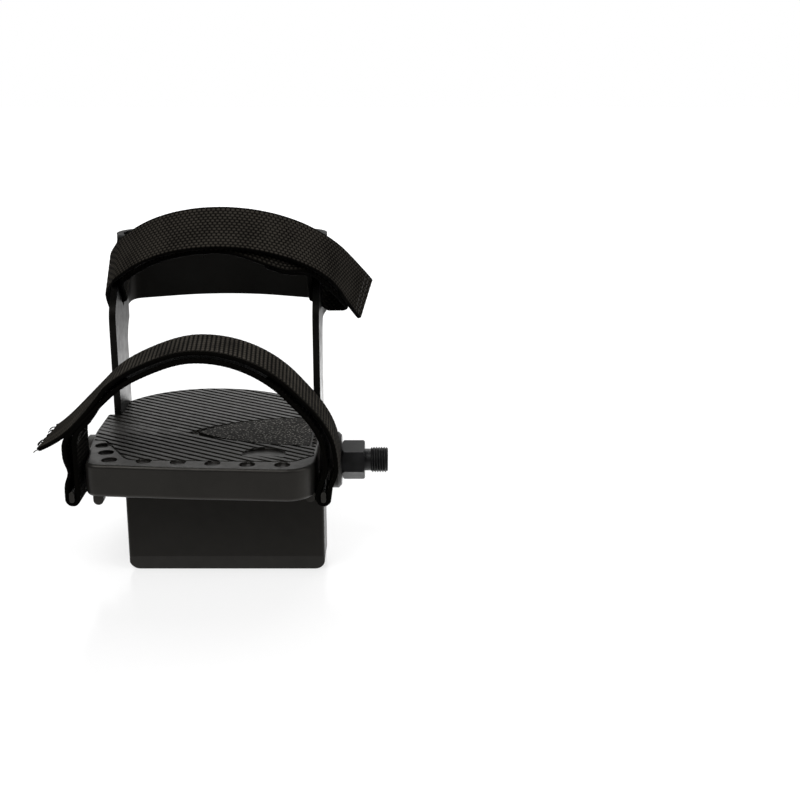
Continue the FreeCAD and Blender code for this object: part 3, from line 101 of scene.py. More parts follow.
def noiseAt(tree, coords, scale, detail=2.0, rough=0.5):
    node = addNode(tree, "ShaderNodeTexNoise", in_Scale=scale, in_Detail=detail, in_Roughness=rough)
    tree.links.new(coords, node.inputs["Vector"])
    return node.outputs["Fac"]


def mixColour(tree, factor, first, second):
    node = addNode(tree, "ShaderNodeMix", data_type="RGBA")
    tree.links.new(factor, node.inputs["Factor"])
    for socket, value in zip([s for s in node.inputs if s.type == "RGBA"], (first, second)):
        if isinstance(value, tuple):
            socket.default_value = (*value, 1.0)
        else:
            tree.links.new(value, socket)
    return [s for s in node.outputs if s.type == "RGBA"][0]


def bumpFrom(tree, height, strength, distance, normal=None):
    node = addNode(tree, "ShaderNodeBump", in_Strength=strength, in_Distance=distance)
    tree.links.new(height, node.inputs["Height"])
    if normal is not None:
        tree.links.new(normal, node.inputs["Normal"])
    return node.outputs["Normal"]


def objectCoords(tree):
    return tree.nodes.new("ShaderNodeTexCoord").outputs["Object"]


def axesOf(tree, vector):
    split = tree.nodes.new("ShaderNodeSeparateXYZ")
    tree.links.new(vector, split.inputs[0])
    return split.outputs


# moulded plastics

mouldings = {
    "platform_plastic": dict(dark=(0.0050, 0.0047, 0.0044), pale=(0.0095, 0.0089, 0.0083),
                             worn=(0.032, 0.030, 0.028), rough=(0.34, 0.50), grain=2600.0, grainDepth=0.10,
                             edge=0.5 * mm, shine=0.28),
    "housing_plastic": dict(dark=(0.0030, 0.0028, 0.0026), pale=(0.0060, 0.0057, 0.0053),
                            worn=(0.02, 0.019, 0.018), rough=(0.40, 0.54), grain=2200.0, grainDepth=0.08,
                            edge=0.6 * mm, shine=0.16),
    "cup_plastic": dict(dark=(0.0016, 0.0016, 0.0015), pale=(0.0036, 0.0036, 0.0034),
                        worn=(0.014, 0.014, 0.014), rough=(0.27, 0.42), grain=1800.0, grainDepth=0.12,
                        edge=0.5 * mm, shine=0.12),
}
# what the mouldings share: each noise as scale, detail and roughness
moulded = dict(cloud=(38.0, 4.0, 0.6), cloudSpan=(0.3, 0.72), scuff=(160.0, 5.0, 0.65), scuffSpan=(0.3, 0.7),
               wornFacing=(0.995, 0.86), wornSpan=(0.35, 0.65), wornShare=(0.15, 0.8), grainHeight=0.1 * mm,
               tint=(1.0, 0.955, 0.87, 1.0))


def mouldedPlastic(name, dark, pale, worn, rough, grain, grainDepth, edge, shine):
    mat, tree, shader = newMaterial(name)
    coords = objectCoords(tree)
    cloud = noiseAt(tree, coords, *moulded["cloud"])
    base = colourRamp(tree, cloud, moulded["cloudSpan"], dark, pale)
    scuff = noiseAt(tree, coords, *moulded["scuff"])
    softEdge = addNode(tree, "ShaderNodeBevel", samples=4, in_Radius=edge)
    # handling polishes the edges pale, where the rounded normal leaves the flat one
    facing = addNode(tree, "ShaderNodeVectorMath", operation="DOT_PRODUCT")
    tree.links.new(softEdge.outputs["Normal"], facing.inputs[0])
    tree.links.new(tree.nodes.new("ShaderNodeNewGeometry").outputs["Normal"], facing.inputs[1])
    wear = mapRange(tree, facing.outputs["Value"], *moulded["wornFacing"], 0.0, 1.0)
    patches = mapRange(tree, scuff, *moulded["wornSpan"], *moulded["wornShare"])
    wear = mathNode(tree, "MULTIPLY", wear, patches)
    fine = noiseAt(tree, coords, grain, 1.0)
    normal = bumpFrom(tree, fine, grainDepth, moulded["grainHeight"], softEdge.outputs["Normal"])
    feed(tree, shader, {
        "Base Color": mixColour(tree, wear, base, worn),
        "Roughness": mapRange(tree, scuff, *moulded["scuffSpan"], *rough),
        "Normal": normal,
        "Specular IOR Level": shine,
        "Specular Tint": moulded["tint"],
    })
    return mat, tree, shader, coords, normal


# the leaf panel in the tread is stippled, the rest of the tread is finely grained
leafPanel = dict(tipX=-86.4, endX=-29.7, tipY=6.0, frontY=-14.4, rearY=28.5, frontBulge=5.5, rearBulge=8.0,
                 above=12.3, stipple=700.0, beadSpan=(0.55, 0.05), beadHeight=0.4 * mm, shades=(0.3, 0.85),
                 pit=(0.003, 0.0029, 0.0027), bead=(0.22, 0.212, 0.195), dulling=0.4)


def circleThrough(start, finish, bulge):
    chord = finish - start
    half = chord.length / 2
    radius = (half * half + bulge * bulge) / (2 * bulge)
    normal = Vector((chord.y, -chord.x)).normalized()
    centre = (start + finish) / 2 + normal * (bulge - radius)
    return centre, radius


def treadPlastic():
    mat, tree, shader, coords, normal = mouldedPlastic("treadPlastic", **mouldings["platform_plastic"])
    tip = Vector((leafPanel["tipX"], leafPanel["tipY"]))
    front = Vector((leafPanel["endX"], leafPanel["frontY"]))
    rear = Vector((leafPanel["endX"], leafPanel["rearY"]))
    inside = mathNode(tree, "GREATER_THAN", axesOf(tree, coords)["Z"], leafPanel["above"] * mm)
    for start, finish, bulge in ((tip, front, leafPanel["frontBulge"]),
                                 (rear, tip, leafPanel["rearBulge"])):
        centre, radius = circleThrough(start, finish, bulge)
        flat = addNode(tree, "ShaderNodeVectorMath", operation="MULTIPLY")
        flat.inputs[1].default_value = (1, 1, 0)
        tree.links.new(coords, flat.inputs[0])
        gap = addNode(tree, "ShaderNodeVectorMath", operation="DISTANCE")
        gap.inputs[1].default_value = (centre.x * mm, centre.y * mm, 0)
        tree.links.new(flat.outputs[0], gap.inputs[0])
        within = mathNode(tree, "LESS_THAN", gap.outputs["Value"], radius * mm)
        inside = mathNode(tree, "MULTIPLY", inside, within)
    pebble = addNode(tree, "ShaderNodeTexVoronoi", in_Scale=leafPanel["stipple"], feature="F1")
    tree.links.new(coords, pebble.inputs["Vector"])
    bead = mapRange(tree, pebble.outputs["Distance"], *leafPanel["beadSpan"], 0.0, 1.0)
    relief = mathNode(tree, "MULTIPLY", bead, inside)
    stippled = bumpFrom(tree, relief, 1.0, leafPanel["beadHeight"], normal)
    plain = shader.inputs["Base Color"].links[0].from_socket
    speckle = colourRamp(tree, bead, leafPanel["shades"], leafPanel["pit"], leafPanel["bead"])
    scuffed = shader.inputs["Roughness"].links[0].from_socket
    dulled = mathNode(tree, "MULTIPLY", inside, leafPanel["dulling"])
    feed(tree, shader, {
        "Base Color": mixColour(tree, inside, plain, speckle),
        "Roughness": mathNode(tree, "ADD", scuffed, dulled),
        "Normal": stippled,
    })
    return mat


# the heel cup's rim and rounded corners, which face upwards, are matter than its walls
cupRim = dict(upward=(0.1, 0.6), shineShare=0.12)


def cupPlastic():
    look = mouldings["cup_plastic"]
    mat, tree, shader = mouldedPlastic("cupPlastic", **look)[:3]
    upward = axesOf(tree, tree.nodes.new("ShaderNodeNewGeometry").outputs["Normal"])["Z"]
    rimShine = look["shine"] * cupRim["shineShare"]
    shine = mapRange(tree, upward, *cupRim["upward"], look["shine"], rimShine)
    tree.links.new(shine, shader.inputs["Specular IOR Level"])
    return mat


# black steel, plain steel, and grained stuff such as rubber and cast iron

blackened = dict(stretch=(1.0, 0.12, 0.12), turned=(2400.0, 2.0), turnedDepth=0.12, height=0.05 * mm,
                 stain=(210.0, 4.0, 0.6), span=(0.3, 0.75), dark=(0.005, 0.005, 0.0052),
                 pale=(0.012, 0.012, 0.0125), rough=(0.34, 0.5), shine=0.2)
bare = dict(grain=(900.0, 3.0, 0.6), depth=0.08, height=0.05 * mm, span=(0.25, 0.8),
            dark=(0.30, 0.30, 0.31), pale=(0.50, 0.50, 0.51), rough=(0.24, 0.4))
grained = dict(detail=(4.0, 0.6), span=(0.3, 0.75), roughSpread=0.06, height=0.15 * mm)


def blackSteel(look):
    mat, tree, shader = newMaterial("blackSteel")
    coords = objectCoords(tree)
    stretch = addNode(tree, "ShaderNodeMapping")
    stretch.inputs["Scale"].default_value = look["stretch"]
    tree.links.new(coords, stretch.inputs["Vector"])
    turned = noiseAt(tree, stretch.outputs["Vector"], *look["turned"])
    stain = noiseAt(tree, coords, *look["stain"])
    feed(tree, shader, {
        "Base Color": colourRamp(tree, stain, look["span"], look["dark"], look["pale"]),
        "Roughness": mapRange(tree, stain, *look["span"], *look["rough"]),
        "Normal": bumpFrom(tree, turned, look["turnedDepth"], look["height"]),
        "Specular IOR Level": look["shine"],
    })
    return mat


def plainSteel(look):
    mat, tree, shader = newMaterial("plainSteel")
    grain = noiseAt(tree, objectCoords(tree), *look["grain"])
    feed(tree, shader, {
        "Base Color": colourRamp(tree, grain, look["span"], look["dark"], look["pale"]),
        "Roughness": mapRange(tree, grain, *look["span"], *look["rough"]),
        "Normal": bumpFrom(tree, grain, look["depth"], look["height"]),
        "Metallic": 1.0,
    })
    return mat


def simpleGrained(name, dark, pale, scale, rough, depth, metallic=0.0, shine=0.5):
    mat, tree, shader = newMaterial(name)
    grain = noiseAt(tree, objectCoords(tree), scale, *grained["detail"])
    roughSpan = (rough - grained["roughSpread"], rough + grained["roughSpread"])
    feed(tree, shader, {
        "Base Color": colourRamp(tree, grain, grained["span"], dark, pale),
        "Roughness": mapRange(tree, grain, *grained["span"], *roughSpan),
        "Normal": bumpFrom(tree, grain, depth, grained["height"]),
        "Metallic": metallic,
        "Specular IOR Level": shine,
    })
    return mat


# woven webbing: the UV map holds millimetres along and across the strap, in step with its raised yarns,
# and the map of its rims and its other face lies faceShift further across
webbing = dict(faceShift=60.0, strands=(1.0, 4.0, 1.0), fibre=(3.2, 3.0, 0.7), fibreHeight=0.35,
               fibreShade=(0.45, 1.1), fade=(0.06, 2.0), fadeShade=(0.65, 1.1), noiseSpan=(0.3, 0.7),
               selvageFade=0.5, selvageShade=0.3, underCoverShadeRamp=12.0, paintedUnderCoverShade=0.5, bump=0.8, height=0.2 * mm,
               rough=0.95, shine=0.03)


# 0 at the edges of each yarn and 1 on its back
def overYarn(tree, count):
    return mathNode(tree, "SINE", mathNode(tree, "MULTIPLY", mathNode(tree, "FRACT", count), math.pi))


def wovenWebbing(name, weave, dark, pale):
    look = webbing
    mat, tree, shader = newMaterial(name)
    place = addNode(tree, "ShaderNodeUVMap", uv_map="weave").outputs["UV"]
    axes = axesOf(tree, place)
    across = mathNode(tree, "MULTIPLY", axes["Y"], 1.0 / weave["across"])
    column = mathNode(tree, "FLOOR", across)
    along = mathNode(tree, "MULTIPLY", axes["X"], 1.0 / weave["along"])
    along = mathNode(tree, "ADD", along, mathNode(tree, "MULTIPLY", column, weave["slant"]))
    yarn = mathNode(tree, "POWER", overYarn(tree, across), weave["split"])
    yarn = mathNode(tree, "MULTIPLY", yarn, overYarn(tree, along))
    strands = addNode(tree, "ShaderNodeMapping")
    strands.inputs["Scale"].default_value = look["strands"]
    tree.links.new(place, strands.inputs["Vector"])
    fibre = noiseAt(tree, strands.outputs["Vector"], *look["fibre"])
    fade = noiseAt(tree, place, *look["fade"])
    height = mathNode(tree, "ADD", yarn, mathNode(tree, "MULTIPLY", fibre, look["fibreHeight"]))
    # both selvages are dark, and what the outer layer covers past the first bar is darkened too, as painted
    # shade
    otherFace = mathNode(tree, "GREATER_THAN", axes["Y"], look["faceShift"] / 2)
    shift = mathNode(tree, "MULTIPLY", otherFace, look["faceShift"])
    aside = mathNode(tree, "ABSOLUTE", mathNode(tree, "SUBTRACT", axes["Y"], shift))
    edgeSpan = (weave["edge"] - look["selvageFade"], weave["edge"])
    underCoverShadeSpan = (weave["covered"], weave["covered"] + look["underCoverShadeRamp"])
    # the colour is darkest between the yarns and palest on their backs, painted shade and painted highlight,
    # multiplied by the random tone of fibres and fading, the dark selvages and the painted shade of the
    # covered layer
    paintedShadeAndTone = yarn
    for factor in (mapRange(tree, fibre, *look["noiseSpan"], *look["fibreShade"]),
                   mapRange(tree, fade, *look["noiseSpan"], *look["fadeShade"]),
                   mapRange(tree, aside, *edgeSpan, 1.0, look["selvageShade"]),
                   mapRange(tree, axes["X"], *underCoverShadeSpan, 1.0, look["paintedUnderCoverShade"])):
        paintedShadeAndTone = mathNode(tree, "MULTIPLY", paintedShadeAndTone, factor)
    feed(tree, shader, {
        "Base Color": colourRamp(tree, paintedShadeAndTone, weave["shades"], dark, pale),
        "Roughness": look["rough"],
        "Normal": bumpFrom(tree, height, look["bump"], look["height"]),
        "Specular IOR Level": look["shine"],
    })
    return mat


tapePile = dict(span=(0.0, 0.8), tip=(0.008, 0.008, 0.008), ground=(0.002, 0.002, 0.002), bump=0.8,
                height=0.3 * mm, rough=0.9, sheen=0.2)


def fastenerTape(name, scale):
    mat, tree, shader = newMaterial(name)
    place = addNode(tree, "ShaderNodeUVMap", uv_map="weave")
    tuft = addNode(tree, "ShaderNodeTexVoronoi", in_Scale=scale, feature="F1")
    tree.links.new(place.outputs["UV"], tuft.inputs["Vector"])
    distance = tuft.outputs["Distance"]
    feed(tree, shader, {
        "Base Color": colourRamp(tree, distance, tapePile["span"], tapePile["tip"], tapePile["ground"]),
        "Roughness": tapePile["rough"],
        "Normal": bumpFrom(tree, distance, tapePile["bump"], tapePile["height"]),
        "Sheen Weight": tapePile["sheen"],
    })
    return mat


treadMat = treadPlastic()
housingMat = mouldedPlastic("housingPlastic", **mouldings["housing_plastic"])[0]
cupMat = cupPlastic()
spindleMat = blackSteel(blackened)
steelMat = plainSteel(bare)
bushMat = simpleGrained("bushPlastic", (0.52, 0.50, 0.45), (0.62, 0.60, 0.55), 300.0, 0.4, 0.1)
rubberMat = simpleGrained("sealRubber", (0.010, 0.010, 0.010), (0.02, 0.02, 0.02), 600.0, 0.7, 0.3)
ironMat = simpleGrained("castIron", (0.05, 0.048, 0.046), (0.11, 0.105, 0.10), 420.0, 0.6, 0.6, 0.8)
# covered: millimetres along the strap past which the covered layer is darkened with painted shade
ribWeave = dict(along=2.1, across=2.8, slant=0.1, split=0.25, relief=0.45, shades=(0.2, 0.75), edge=11.6,
                covered=203.0)
dotWeave = dict(along=2.4, across=1.7, slant=0.5, split=0.7, relief=0.42, shades=(0.08, 0.55), edge=11.9,
                covered=195.0)
toeWebbingMat = wovenWebbing("toeWebbing", ribWeave, (0.0016, 0.0014, 0.0011), (0.0480, 0.0430, 0.0357))
ankleWebbingMat = wovenWebbing("ankleWebbing", dotWeave, (0.0013, 0.0011, 0.0009), (0.0365, 0.0327, 0.0272))
hookMat = fastenerTape("hookTape", 1.3)
loopMat = fastenerTape("loopTape", 2.1)
frayMat = simpleGrained("looseThread", (0.003, 0.0028, 0.0025), (0.010, 0.009, 0.008), 2500.0, 0.9, 0.2,
                        shine=0.03)
threadMat = simpleGrained("sewingThread", (0.012, 0.011, 0.010), (0.04, 0.037, 0.033), 2500.0, 0.7, 0.4)

nodeFinish = {
    "platform": treadMat, "dust_cap": treadMat, "counterweight_housing": housingMat,
    "bearing_cover": housingMat, "heel_cup": cupMat, "heel_cup_bolts": spindleMat, "counterweight": ironMat,
    "dust_seal": rubberMat, "inner_bush": bushMat, "outer_bush": bushMat,
}
for nodeName, node in nodes.items():
    finish = nodeFinish.get(nodeName, steelMat)
    node.data.materials.clear()
    node.data.materials.append(finish)
print("materials set on the carried-over pieces")


# meshes made by hand

def faceOutwards(mesh, merge=0.0):
    bm = bmesh.new()
    bm.from_mesh(mesh)
    if merge:
        bmesh.ops.remove_doubles(bm, verts=bm.verts, dist=merge)
    bmesh.ops.recalc_face_normals(bm, faces=bm.faces)
    bm.to_mesh(mesh)
    bm.free()


def meshObject(name, verts, faces, mat, sharpAngle=35.0):
    mesh = bpy.data.meshes.new(name)
    mesh.from_pydata([tuple(v) for v in verts], [], faces)
    faceOutwards(mesh)
    mesh.materials.append(mat)
    for poly in mesh.polygons:
        poly.use_smooth = True
    mesh.set_sharp_from_angle(angle=math.radians(sharpAngle))
    obj = bpy.data.objects.new(name, mesh)
    scene.collection.objects.link(obj)
    return obj


# spindle with its cut thread

spindle = dict(threadEnd=8.5, threadStart=0.0, threadRadius=6.35, rootDepth=0.72, pitch=1.27, chamfer=0.8,
               neckRadius=5.5, shoulder=-3.0, hexFlats=17.0, hexEnd=-14.0, hexTurn=20.0, hexChamfer=0.55,
               hubRadius=8.4, hubEnd=-21.2, innerRadius=7.0, innerEnd=-41.2, outerRadius=5.0, taperEnd=-86.2,
               outerEnd=-116.2, tailRadius=4.0, tailEnd=-126.2, around=144, rowsPerPitch=14, flankSlope=2.6,
               runout=0.5, hexSlope=1.1, hexInsets=(0.0, 0.35, 0.7, 1.2), sharpAngle=32.0, merge=0.0005 * mm)


def spindleRows(s):
    rows = []
    lengthwise = int((s["threadEnd"] - s["threadStart"]) / s["pitch"] * s["rowsPerPitch"])
    rows.append((s["threadEnd"], "plain", 0.0))
    for number in range(lengthwise + 1):
        x = s["threadEnd"] + (s["threadStart"] - s["threadEnd"]) * number / lengthwise
        rows.append((x, "thread", s["threadRadius"]))
    rows.append((s["threadStart"], "plain", s["neckRadius"]))
    rows.append((s["shoulder"], "plain", s["neckRadius"]))
    for inset in s["hexInsets"]:
        rows.append((s["shoulder"] - inset, "hexagon", 0.0))
    for inset in reversed(s["hexInsets"]):
        rows.append((s["hexEnd"] + inset, "hexagon", 0.0))
    for x, radius in ((s["hexEnd"], s["hubRadius"]), (s["hubEnd"], s["hubRadius"]),
                      (s["hubEnd"], s["innerRadius"]), (s["innerEnd"], s["innerRadius"]),
                      (s["taperEnd"], s["outerRadius"]), (s["outerEnd"], s["outerRadius"]),
                      (s["outerEnd"], s["tailRadius"]),
                      (s["tailEnd"] + s["chamfer"], s["tailRadius"]),
                      (s["tailEnd"], s["tailRadius"] - s["chamfer"]), (s["tailEnd"], 0.0)):
        rows.append((x, "plain", radius))
    return rows


def spindleRadius(s, x, kind, radius, angle):
    if kind == "thread":
        phase = (x / s["pitch"] - angle / (2 * math.pi)) % 1.0
        # flat crest, sloped flanks
        flank = min(abs(phase - 0.5) * s["flankSlope"], 1.0)
        depth = s["rootDepth"] * (1.0 - flank)
        endCut = max(0.0, s["chamfer"] - (s["threadEnd"] - x))
        runout = max(0.0, s["runout"] - (x - s["threadStart"]))
        return radius - max(depth, endCut, runout)
    if kind == "hexagon":
        sector = (math.degrees(angle) - s["hexTurn"]) % 60.0 - 30.0
        flat = s["hexFlats"] / 2 / math.cos(math.radians(sector))
        inset = min(s["shoulder"] - x, x - s["hexEnd"])
        limit = s["hexFlats"] / 2 + s["hexChamfer"] + inset * s["hexSlope"]
        return min(flat, limit)
    return radius


def makeSpindle(s):
    rows = spindleRows(s)
    verts = []
    faces = []
    for x, kind, radius in rows:
        for number in range(s["around"]):
            angle = 2 * math.pi * number / s["around"]
            r = spindleRadius(s, x, kind, radius, angle)
            verts.append(Vector((x, r * math.cos(angle), r * math.sin(angle))) * mm)
    for row in range(len(rows) - 1):
        for number in range(s["around"]):
            following = (number + 1) % s["around"]
            a = row * s["around"]
            b = a + s["around"]
            faces.append((a + number, a + following, b + following, b + number))
    obj = meshObject("spindleShaft", verts, faces, spindleMat, s["sharpAngle"])
    faceOutwards(obj.data, s["merge"])
    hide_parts("spindle")
    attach(obj, "spindle")


makeSpindle(spindle)
print("spindle with thread made")


# paths of the straps, in millimetres, in the plane of each strap

bends = dict(degreesPerStep=4.0, fewestSteps=3, halfArcSteps=24)


def roundedPath(corners):
    places = [Vector(corner[:2]) for corner in corners]
    path = [places[0]]
    for number in range(1, len(corners) - 1):
        here = places[number]
        radius = corners[number][2]
        back = (places[number - 1] - here).normalized()
        ahead = (places[number + 1] - here).normalized()
        half = back.angle(ahead) / 2
        reach = radius / math.tan(half)
        bisector = (back + ahead).normalized()
        centre = here + bisector * (radius / math.sin(half))
        start = here + back * reach
        sweep = math.pi - 2 * half
        way = 1 if back.x * ahead.y - back.y * ahead.x < 0 else -1
        steps = max(bends["fewestSteps"], int(math.degrees(sweep) / bends["degreesPerStep"]))
        arm = start - centre
        for step in range(steps + 1):
            turn = way * sweep * step / steps
            path.append(centre + Matrix.Rotation(turn, 2) @ arm)
    path.append(places[-1])
    return path


def evenPath(path, spacing):
    lengths = [0.0]
    for a, b in zip(path, path[1:]):
        lengths.append(lengths[-1] + (b - a).length)
    count = max(2, round(lengths[-1] / spacing))
    out = []
    segment = 0
    for number in range(count + 1):
        target = lengths[-1] * number / count
        while segment < len(path) - 2 and lengths[segment + 1] < target:
            segment += 1
        run = lengths[segment + 1] - lengths[segment]
        share = (target - lengths[segment]) / run if run > 0 else 0.0
        out.append((target, path[segment].lerp(path[segment + 1], min(max(share, 0.0), 1.0))))
    return out


def shifted(corners, distance):
    places = [Vector(corner[:2]) for corner in corners]
    ways = [(b - a).normalized() for a, b in zip(places, places[1:])]
    row = []
    for number, (x, y, radius) in enumerate(corners):
        before = ways[max(number - 1, 0)]
        after = ways[min(number, len(ways) - 1)]
        left = Vector((-before.y, before.x))
        nextLeft = Vector((-after.y, after.x))
        shift = (left + nextLeft) * (distance / (1 + left.dot(nextLeft)))
        turn = 1 if before.x * after.y - before.y * after.x > 0 else -1
        bend = radius - turn * distance if radius > 0 else 0
        row.append((x + shift.x, y + shift.y, bend))
    return row


def heightOn(start, finish, x):
    return start[1] + (finish[1] - start[1]) * (x - start[0]) / (finish[0] - start[0])


def smoothStep(low, high, value):
    t = min(max((value - low) / (high - low), 0.0), 1.0)
    return t * t * (3 - 2 * t)


# cross section of webbing: slightly thicker selvages, rounded edges, which the weave makes wavy
selvage = dict(inset=0.8, middleThick=0.92, thicker=0.08, steepness=6, roundInset=0.25, roundThick=0.72,
               noseThick=0.1, wavyFrom=0.85, plainFrom=0.9, tapePitch=1.7, yarnSink=0.6, sharpAngle=60.0)


def webbingSection(width, thick, columns):
    half = thick / 2
    inset = half * selvage["inset"]
    upper = []
    for number in range(columns + 1):
        share = number / columns
        w = -width / 2 + inset + (width - 2 * inset) * share
        edge = abs(2 * share - 1)
        upper.append((w, half * (selvage["middleThick"] + selvage["thicker"] * edge ** selvage["steepness"])))
    roundW = width / 2 - half * selvage["roundInset"]
    roundN = half * selvage["roundThick"]
    noseN = half * selvage["noseThick"]
    rim = [(roundW, roundN), (width / 2, noseN), (width / 2, -noseN), (roundW, -roundN)]
    lower = [(-w, -n) for w, n in upper]
    otherRim = [(-w, -n) for w, n in rim]
    return upper + rim + lower + otherRim


def yarnHeight(weave, s, w):
    column = math.floor(w / weave["across"])
    phase = (s / weave["along"] + column * weave["slant"]) % 1.0
    return weave["relief"] * (math.sin(math.pi * phase) - selvage["yarnSink"])


def strapRun(path, spacing, place, shape=None):
    return dict(rows=evenPath(path, spacing), place=place, shape=shape)


# the point at s along the strap, w across it and n off its middle surface
def strapPoint(run, s, w, n):
    rows = run["rows"]
    last = len(rows) - 1
    number = min(max(round(s / rows[last][0] * last), 0), last)
    way = rows[min(number + 1, last)][1] - rows[max(number - 1, 0)][1]
    flat = rows[number][1] + Vector((-way.y, way.x)).normalized() * n
    point = Vector((flat.x, w, flat.y))
    if run["shape"]:
        point = run["shape"](point, s)
    return run["place"] @ (point * mm)


def layStrap(name, run, width, thick, mat, weave=None, columns=14, ripple=0.26):
    rows = run["rows"]
    section = webbingSection(width, thick, columns)
    loop = len(section)
    pitch = weave["along"] if weave else selvage["tapePitch"]
    verts = []
    for s, _ in rows:
        for w, n in section:
            rim = max(0.0, abs(w) / (width / 2) - selvage["wavyFrom"]) / (1 - selvage["wavyFrom"])
            edge = w + math.copysign(ripple * rim * math.sin(2 * math.pi * s / pitch), w)
            if weave and rim < selvage["plainFrom"]:
                n += math.copysign(yarnHeight(weave, s, w), n)
            verts.append(strapPoint(run, s, edge, n))
    faces = []
    for row in range(len(rows) - 1):
        for number in range(loop):
            following = (number + 1) % loop
            a = row * loop
            b = a + loop
            faces.append((a + number, b + number, b + following, a + following))
    last = (len(rows) - 1) * loop
    faces.append(tuple(reversed(range(loop))))
    faces.append(tuple(range(last, last + loop)))
    obj = meshObject(name, verts, faces, mat, selvage["sharpAngle"])
    uv = obj.data.uv_layers.new(name="weave")
    for poly in obj.data.polygons:
        for corner in poly.loop_indices:
            vert = obj.data.loops[corner].vertex_index
            row, number = divmod(vert, loop)
            shift = 0.0 if number <= columns else webbing["faceShift"]
            uv.data[corner].uv = (rows[row][0], section[number][0] + shift)
    return obj, rows[-1][0]


def arcPath(x, z, radius, half):
    steps = bends["halfArcSteps"]
    return [Vector((x - radius * math.sin(a), z + radius * math.cos(a)))
            for a in (half * (1 - number / steps) for number in range(2 * steps + 1))]


# the hook and the loop tape between the layers of a strap, whose arch has its middle at centre
tapes = dict(spacing=1.2, columns=8, ripple=0.12, thickShare=0.94)


def layTapes(strap, centre, place, shape, names):
    for number, (label, cadNode, mat) in enumerate(names):
        depth = strap["cadThick"] / 2 + strap["tapeGap"] + strap["tape"] / 2
        depth += number * (strap["tape"] + strap["tapeGap"])
        path = arcPath(*centre, strap["archRadius"] - depth, math.radians(strap["tapeAngle"]))
        run = strapRun(path, tapes["spacing"], place, shape)
        thick = strap["tape"] * tapes["thickShare"]
        tape, tapeLength = layStrap(label, run, strap["tapeWidth"], thick, mat, None, tapes["columns"],
                                    tapes["ripple"])
        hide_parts(cadNode)
        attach(tape, "pedal")


# toe strap

toe = dict(width=25.0, thick=1.9, middleY=-30.5, archTop=68.0, archRadius=60.0, tailAngle=45.0,
           tailLength=46.0, innerBar=-21.4, outerBar=-139.53, barHalf=1.2, barLow=-6.4, gap=0.3, tape=0.9,
           tapeGap=0.06, loopBend=11.0, seam=0.95, tapeAngle=34.0, tapeWidth=21.0, spacing=0.525,
           nearly=0.995, cadThick=2.0, lean=0.085, leanFrom=18.0, leanTo=60.0, bulge=3.6, bulgeFrom=48.0,
           bulgeTo=80.0, sag=1.0, sagSweep=46.0, swellFrom=-3.0, swellTo=9.0, tailRun=90.0, curlFrom=22.0,
           curl=1.5, tailSag=3.8, slant=6.4, slantRun=30.0, pinch=2.0, pinchAt=8.0, pinchReach=4.5,
           pinchX=-141.2, pinchFrom=-2.0)


def toeShape(point, s):
    x, y, z = point
    # the arch leans back, sags towards its tail and bulges out on the inner side
    lift = toe["lean"] * (y - toe["width"] / 2) * smoothStep(toe["leanFrom"], toe["leanTo"], z)
    outward = Vector((x - toeMiddle, z - toe["archTop"] + toe["archRadius"])).normalized()
    turn = math.degrees(math.atan2(outward.x, max(outward.y, 0.0)))
    swell = toe["bulge"] * smoothStep(toe["bulgeFrom"], toe["bulgeTo"], turn)
    swell -= toe["sag"] * math.sin(math.pi * min(max(-turn / toe["sagSweep"], 0.0), 1.0)) ** 2
    swell *= smoothStep(toe["swellFrom"], toe["swellTo"], z)
    # the free tail curls up at its end, sags at its front edge and is cut aslant at its rear corner
    slide = 0.0
    if s < toe["tailRun"]:
        rearShare = 0.5 + y / toe["width"]
        lift += toe["curl"] * (1 - min(s / toe["curlFrom"], 1.0)) ** 2
        lift -= toe["tailSag"] * (1 - rearShare) * math.sin(math.pi * min(s / toe["tailLength"], 1.0))
        slide = toe["slant"] * rearShare * (1 - min(s / toe["slantRun"], 1.0)) ** 2 * math.sqrt(0.5)
    # the outer loop is drawn in just above its bar
    draw = 0.0
    if s > toe["tailRun"] and x < toe["pinchX"] and z > toe["pinchFrom"]:
        draw = toe["pinch"] * math.exp(-((z - toe["pinchAt"]) / toe["pinchReach"]) ** 2)
    return Vector((x + draw + slide + outward.x * swell, y, z + lift + slide + outward.y * swell))


def toePaths(t):
    turn = t["barHalf"] + t["gap"] + t["cadThick"] / 2
    low = t["barLow"] - t["gap"] - t["cadThick"] / 2
    step = t["cadThick"] + 2 * t["tape"] + 3 * t["tapeGap"]
    right = t["innerBar"] + turn
    middle = right - t["archRadius"]
    lean = math.radians(t["tailAngle"])
    bend = math.tan(lean / 2)
    tail = t["archRadius"] * bend + t["tailLength"]
    small = turn * t["nearly"]
    arch = t["archRadius"] * t["nearly"]
    upper = [
        (middle - t["archRadius"] * bend - tail * math.cos(lean), t["archTop"] - tail * math.sin(lean), 0),
        (middle - t["archRadius"] * bend, t["archTop"], arch),
        (right, t["archTop"], arch),
    ]
    lower = shifted(upper, -step)
    loopX = t["outerBar"] - turn
    main = upper + [
        (right, low, small),
        (t["innerBar"] - turn, low, small),
        (t["innerBar"] - turn, lower[2][1], (t["innerBar"] - turn - middle) * t["nearly"]),
        lower[1],
        (loopX, heightOn(lower[0], lower[1], loopX), t["loopBend"]),
        (loopX, low, small),
        (t["outerBar"] + turn, low, small),
    ]
    under = shifted(upper, -step - t["cadThick"] * t["seam"])
    rise = t["outerBar"] + turn
    end = (rise + middle - t["archRadius"] * math.sin(lean)) / 2
    main += [
        (rise, heightOn(under[0], under[1], rise), t["loopBend"]),
        (end, heightOn(under[0], under[1], end), 0),
    ]
    return main, middle


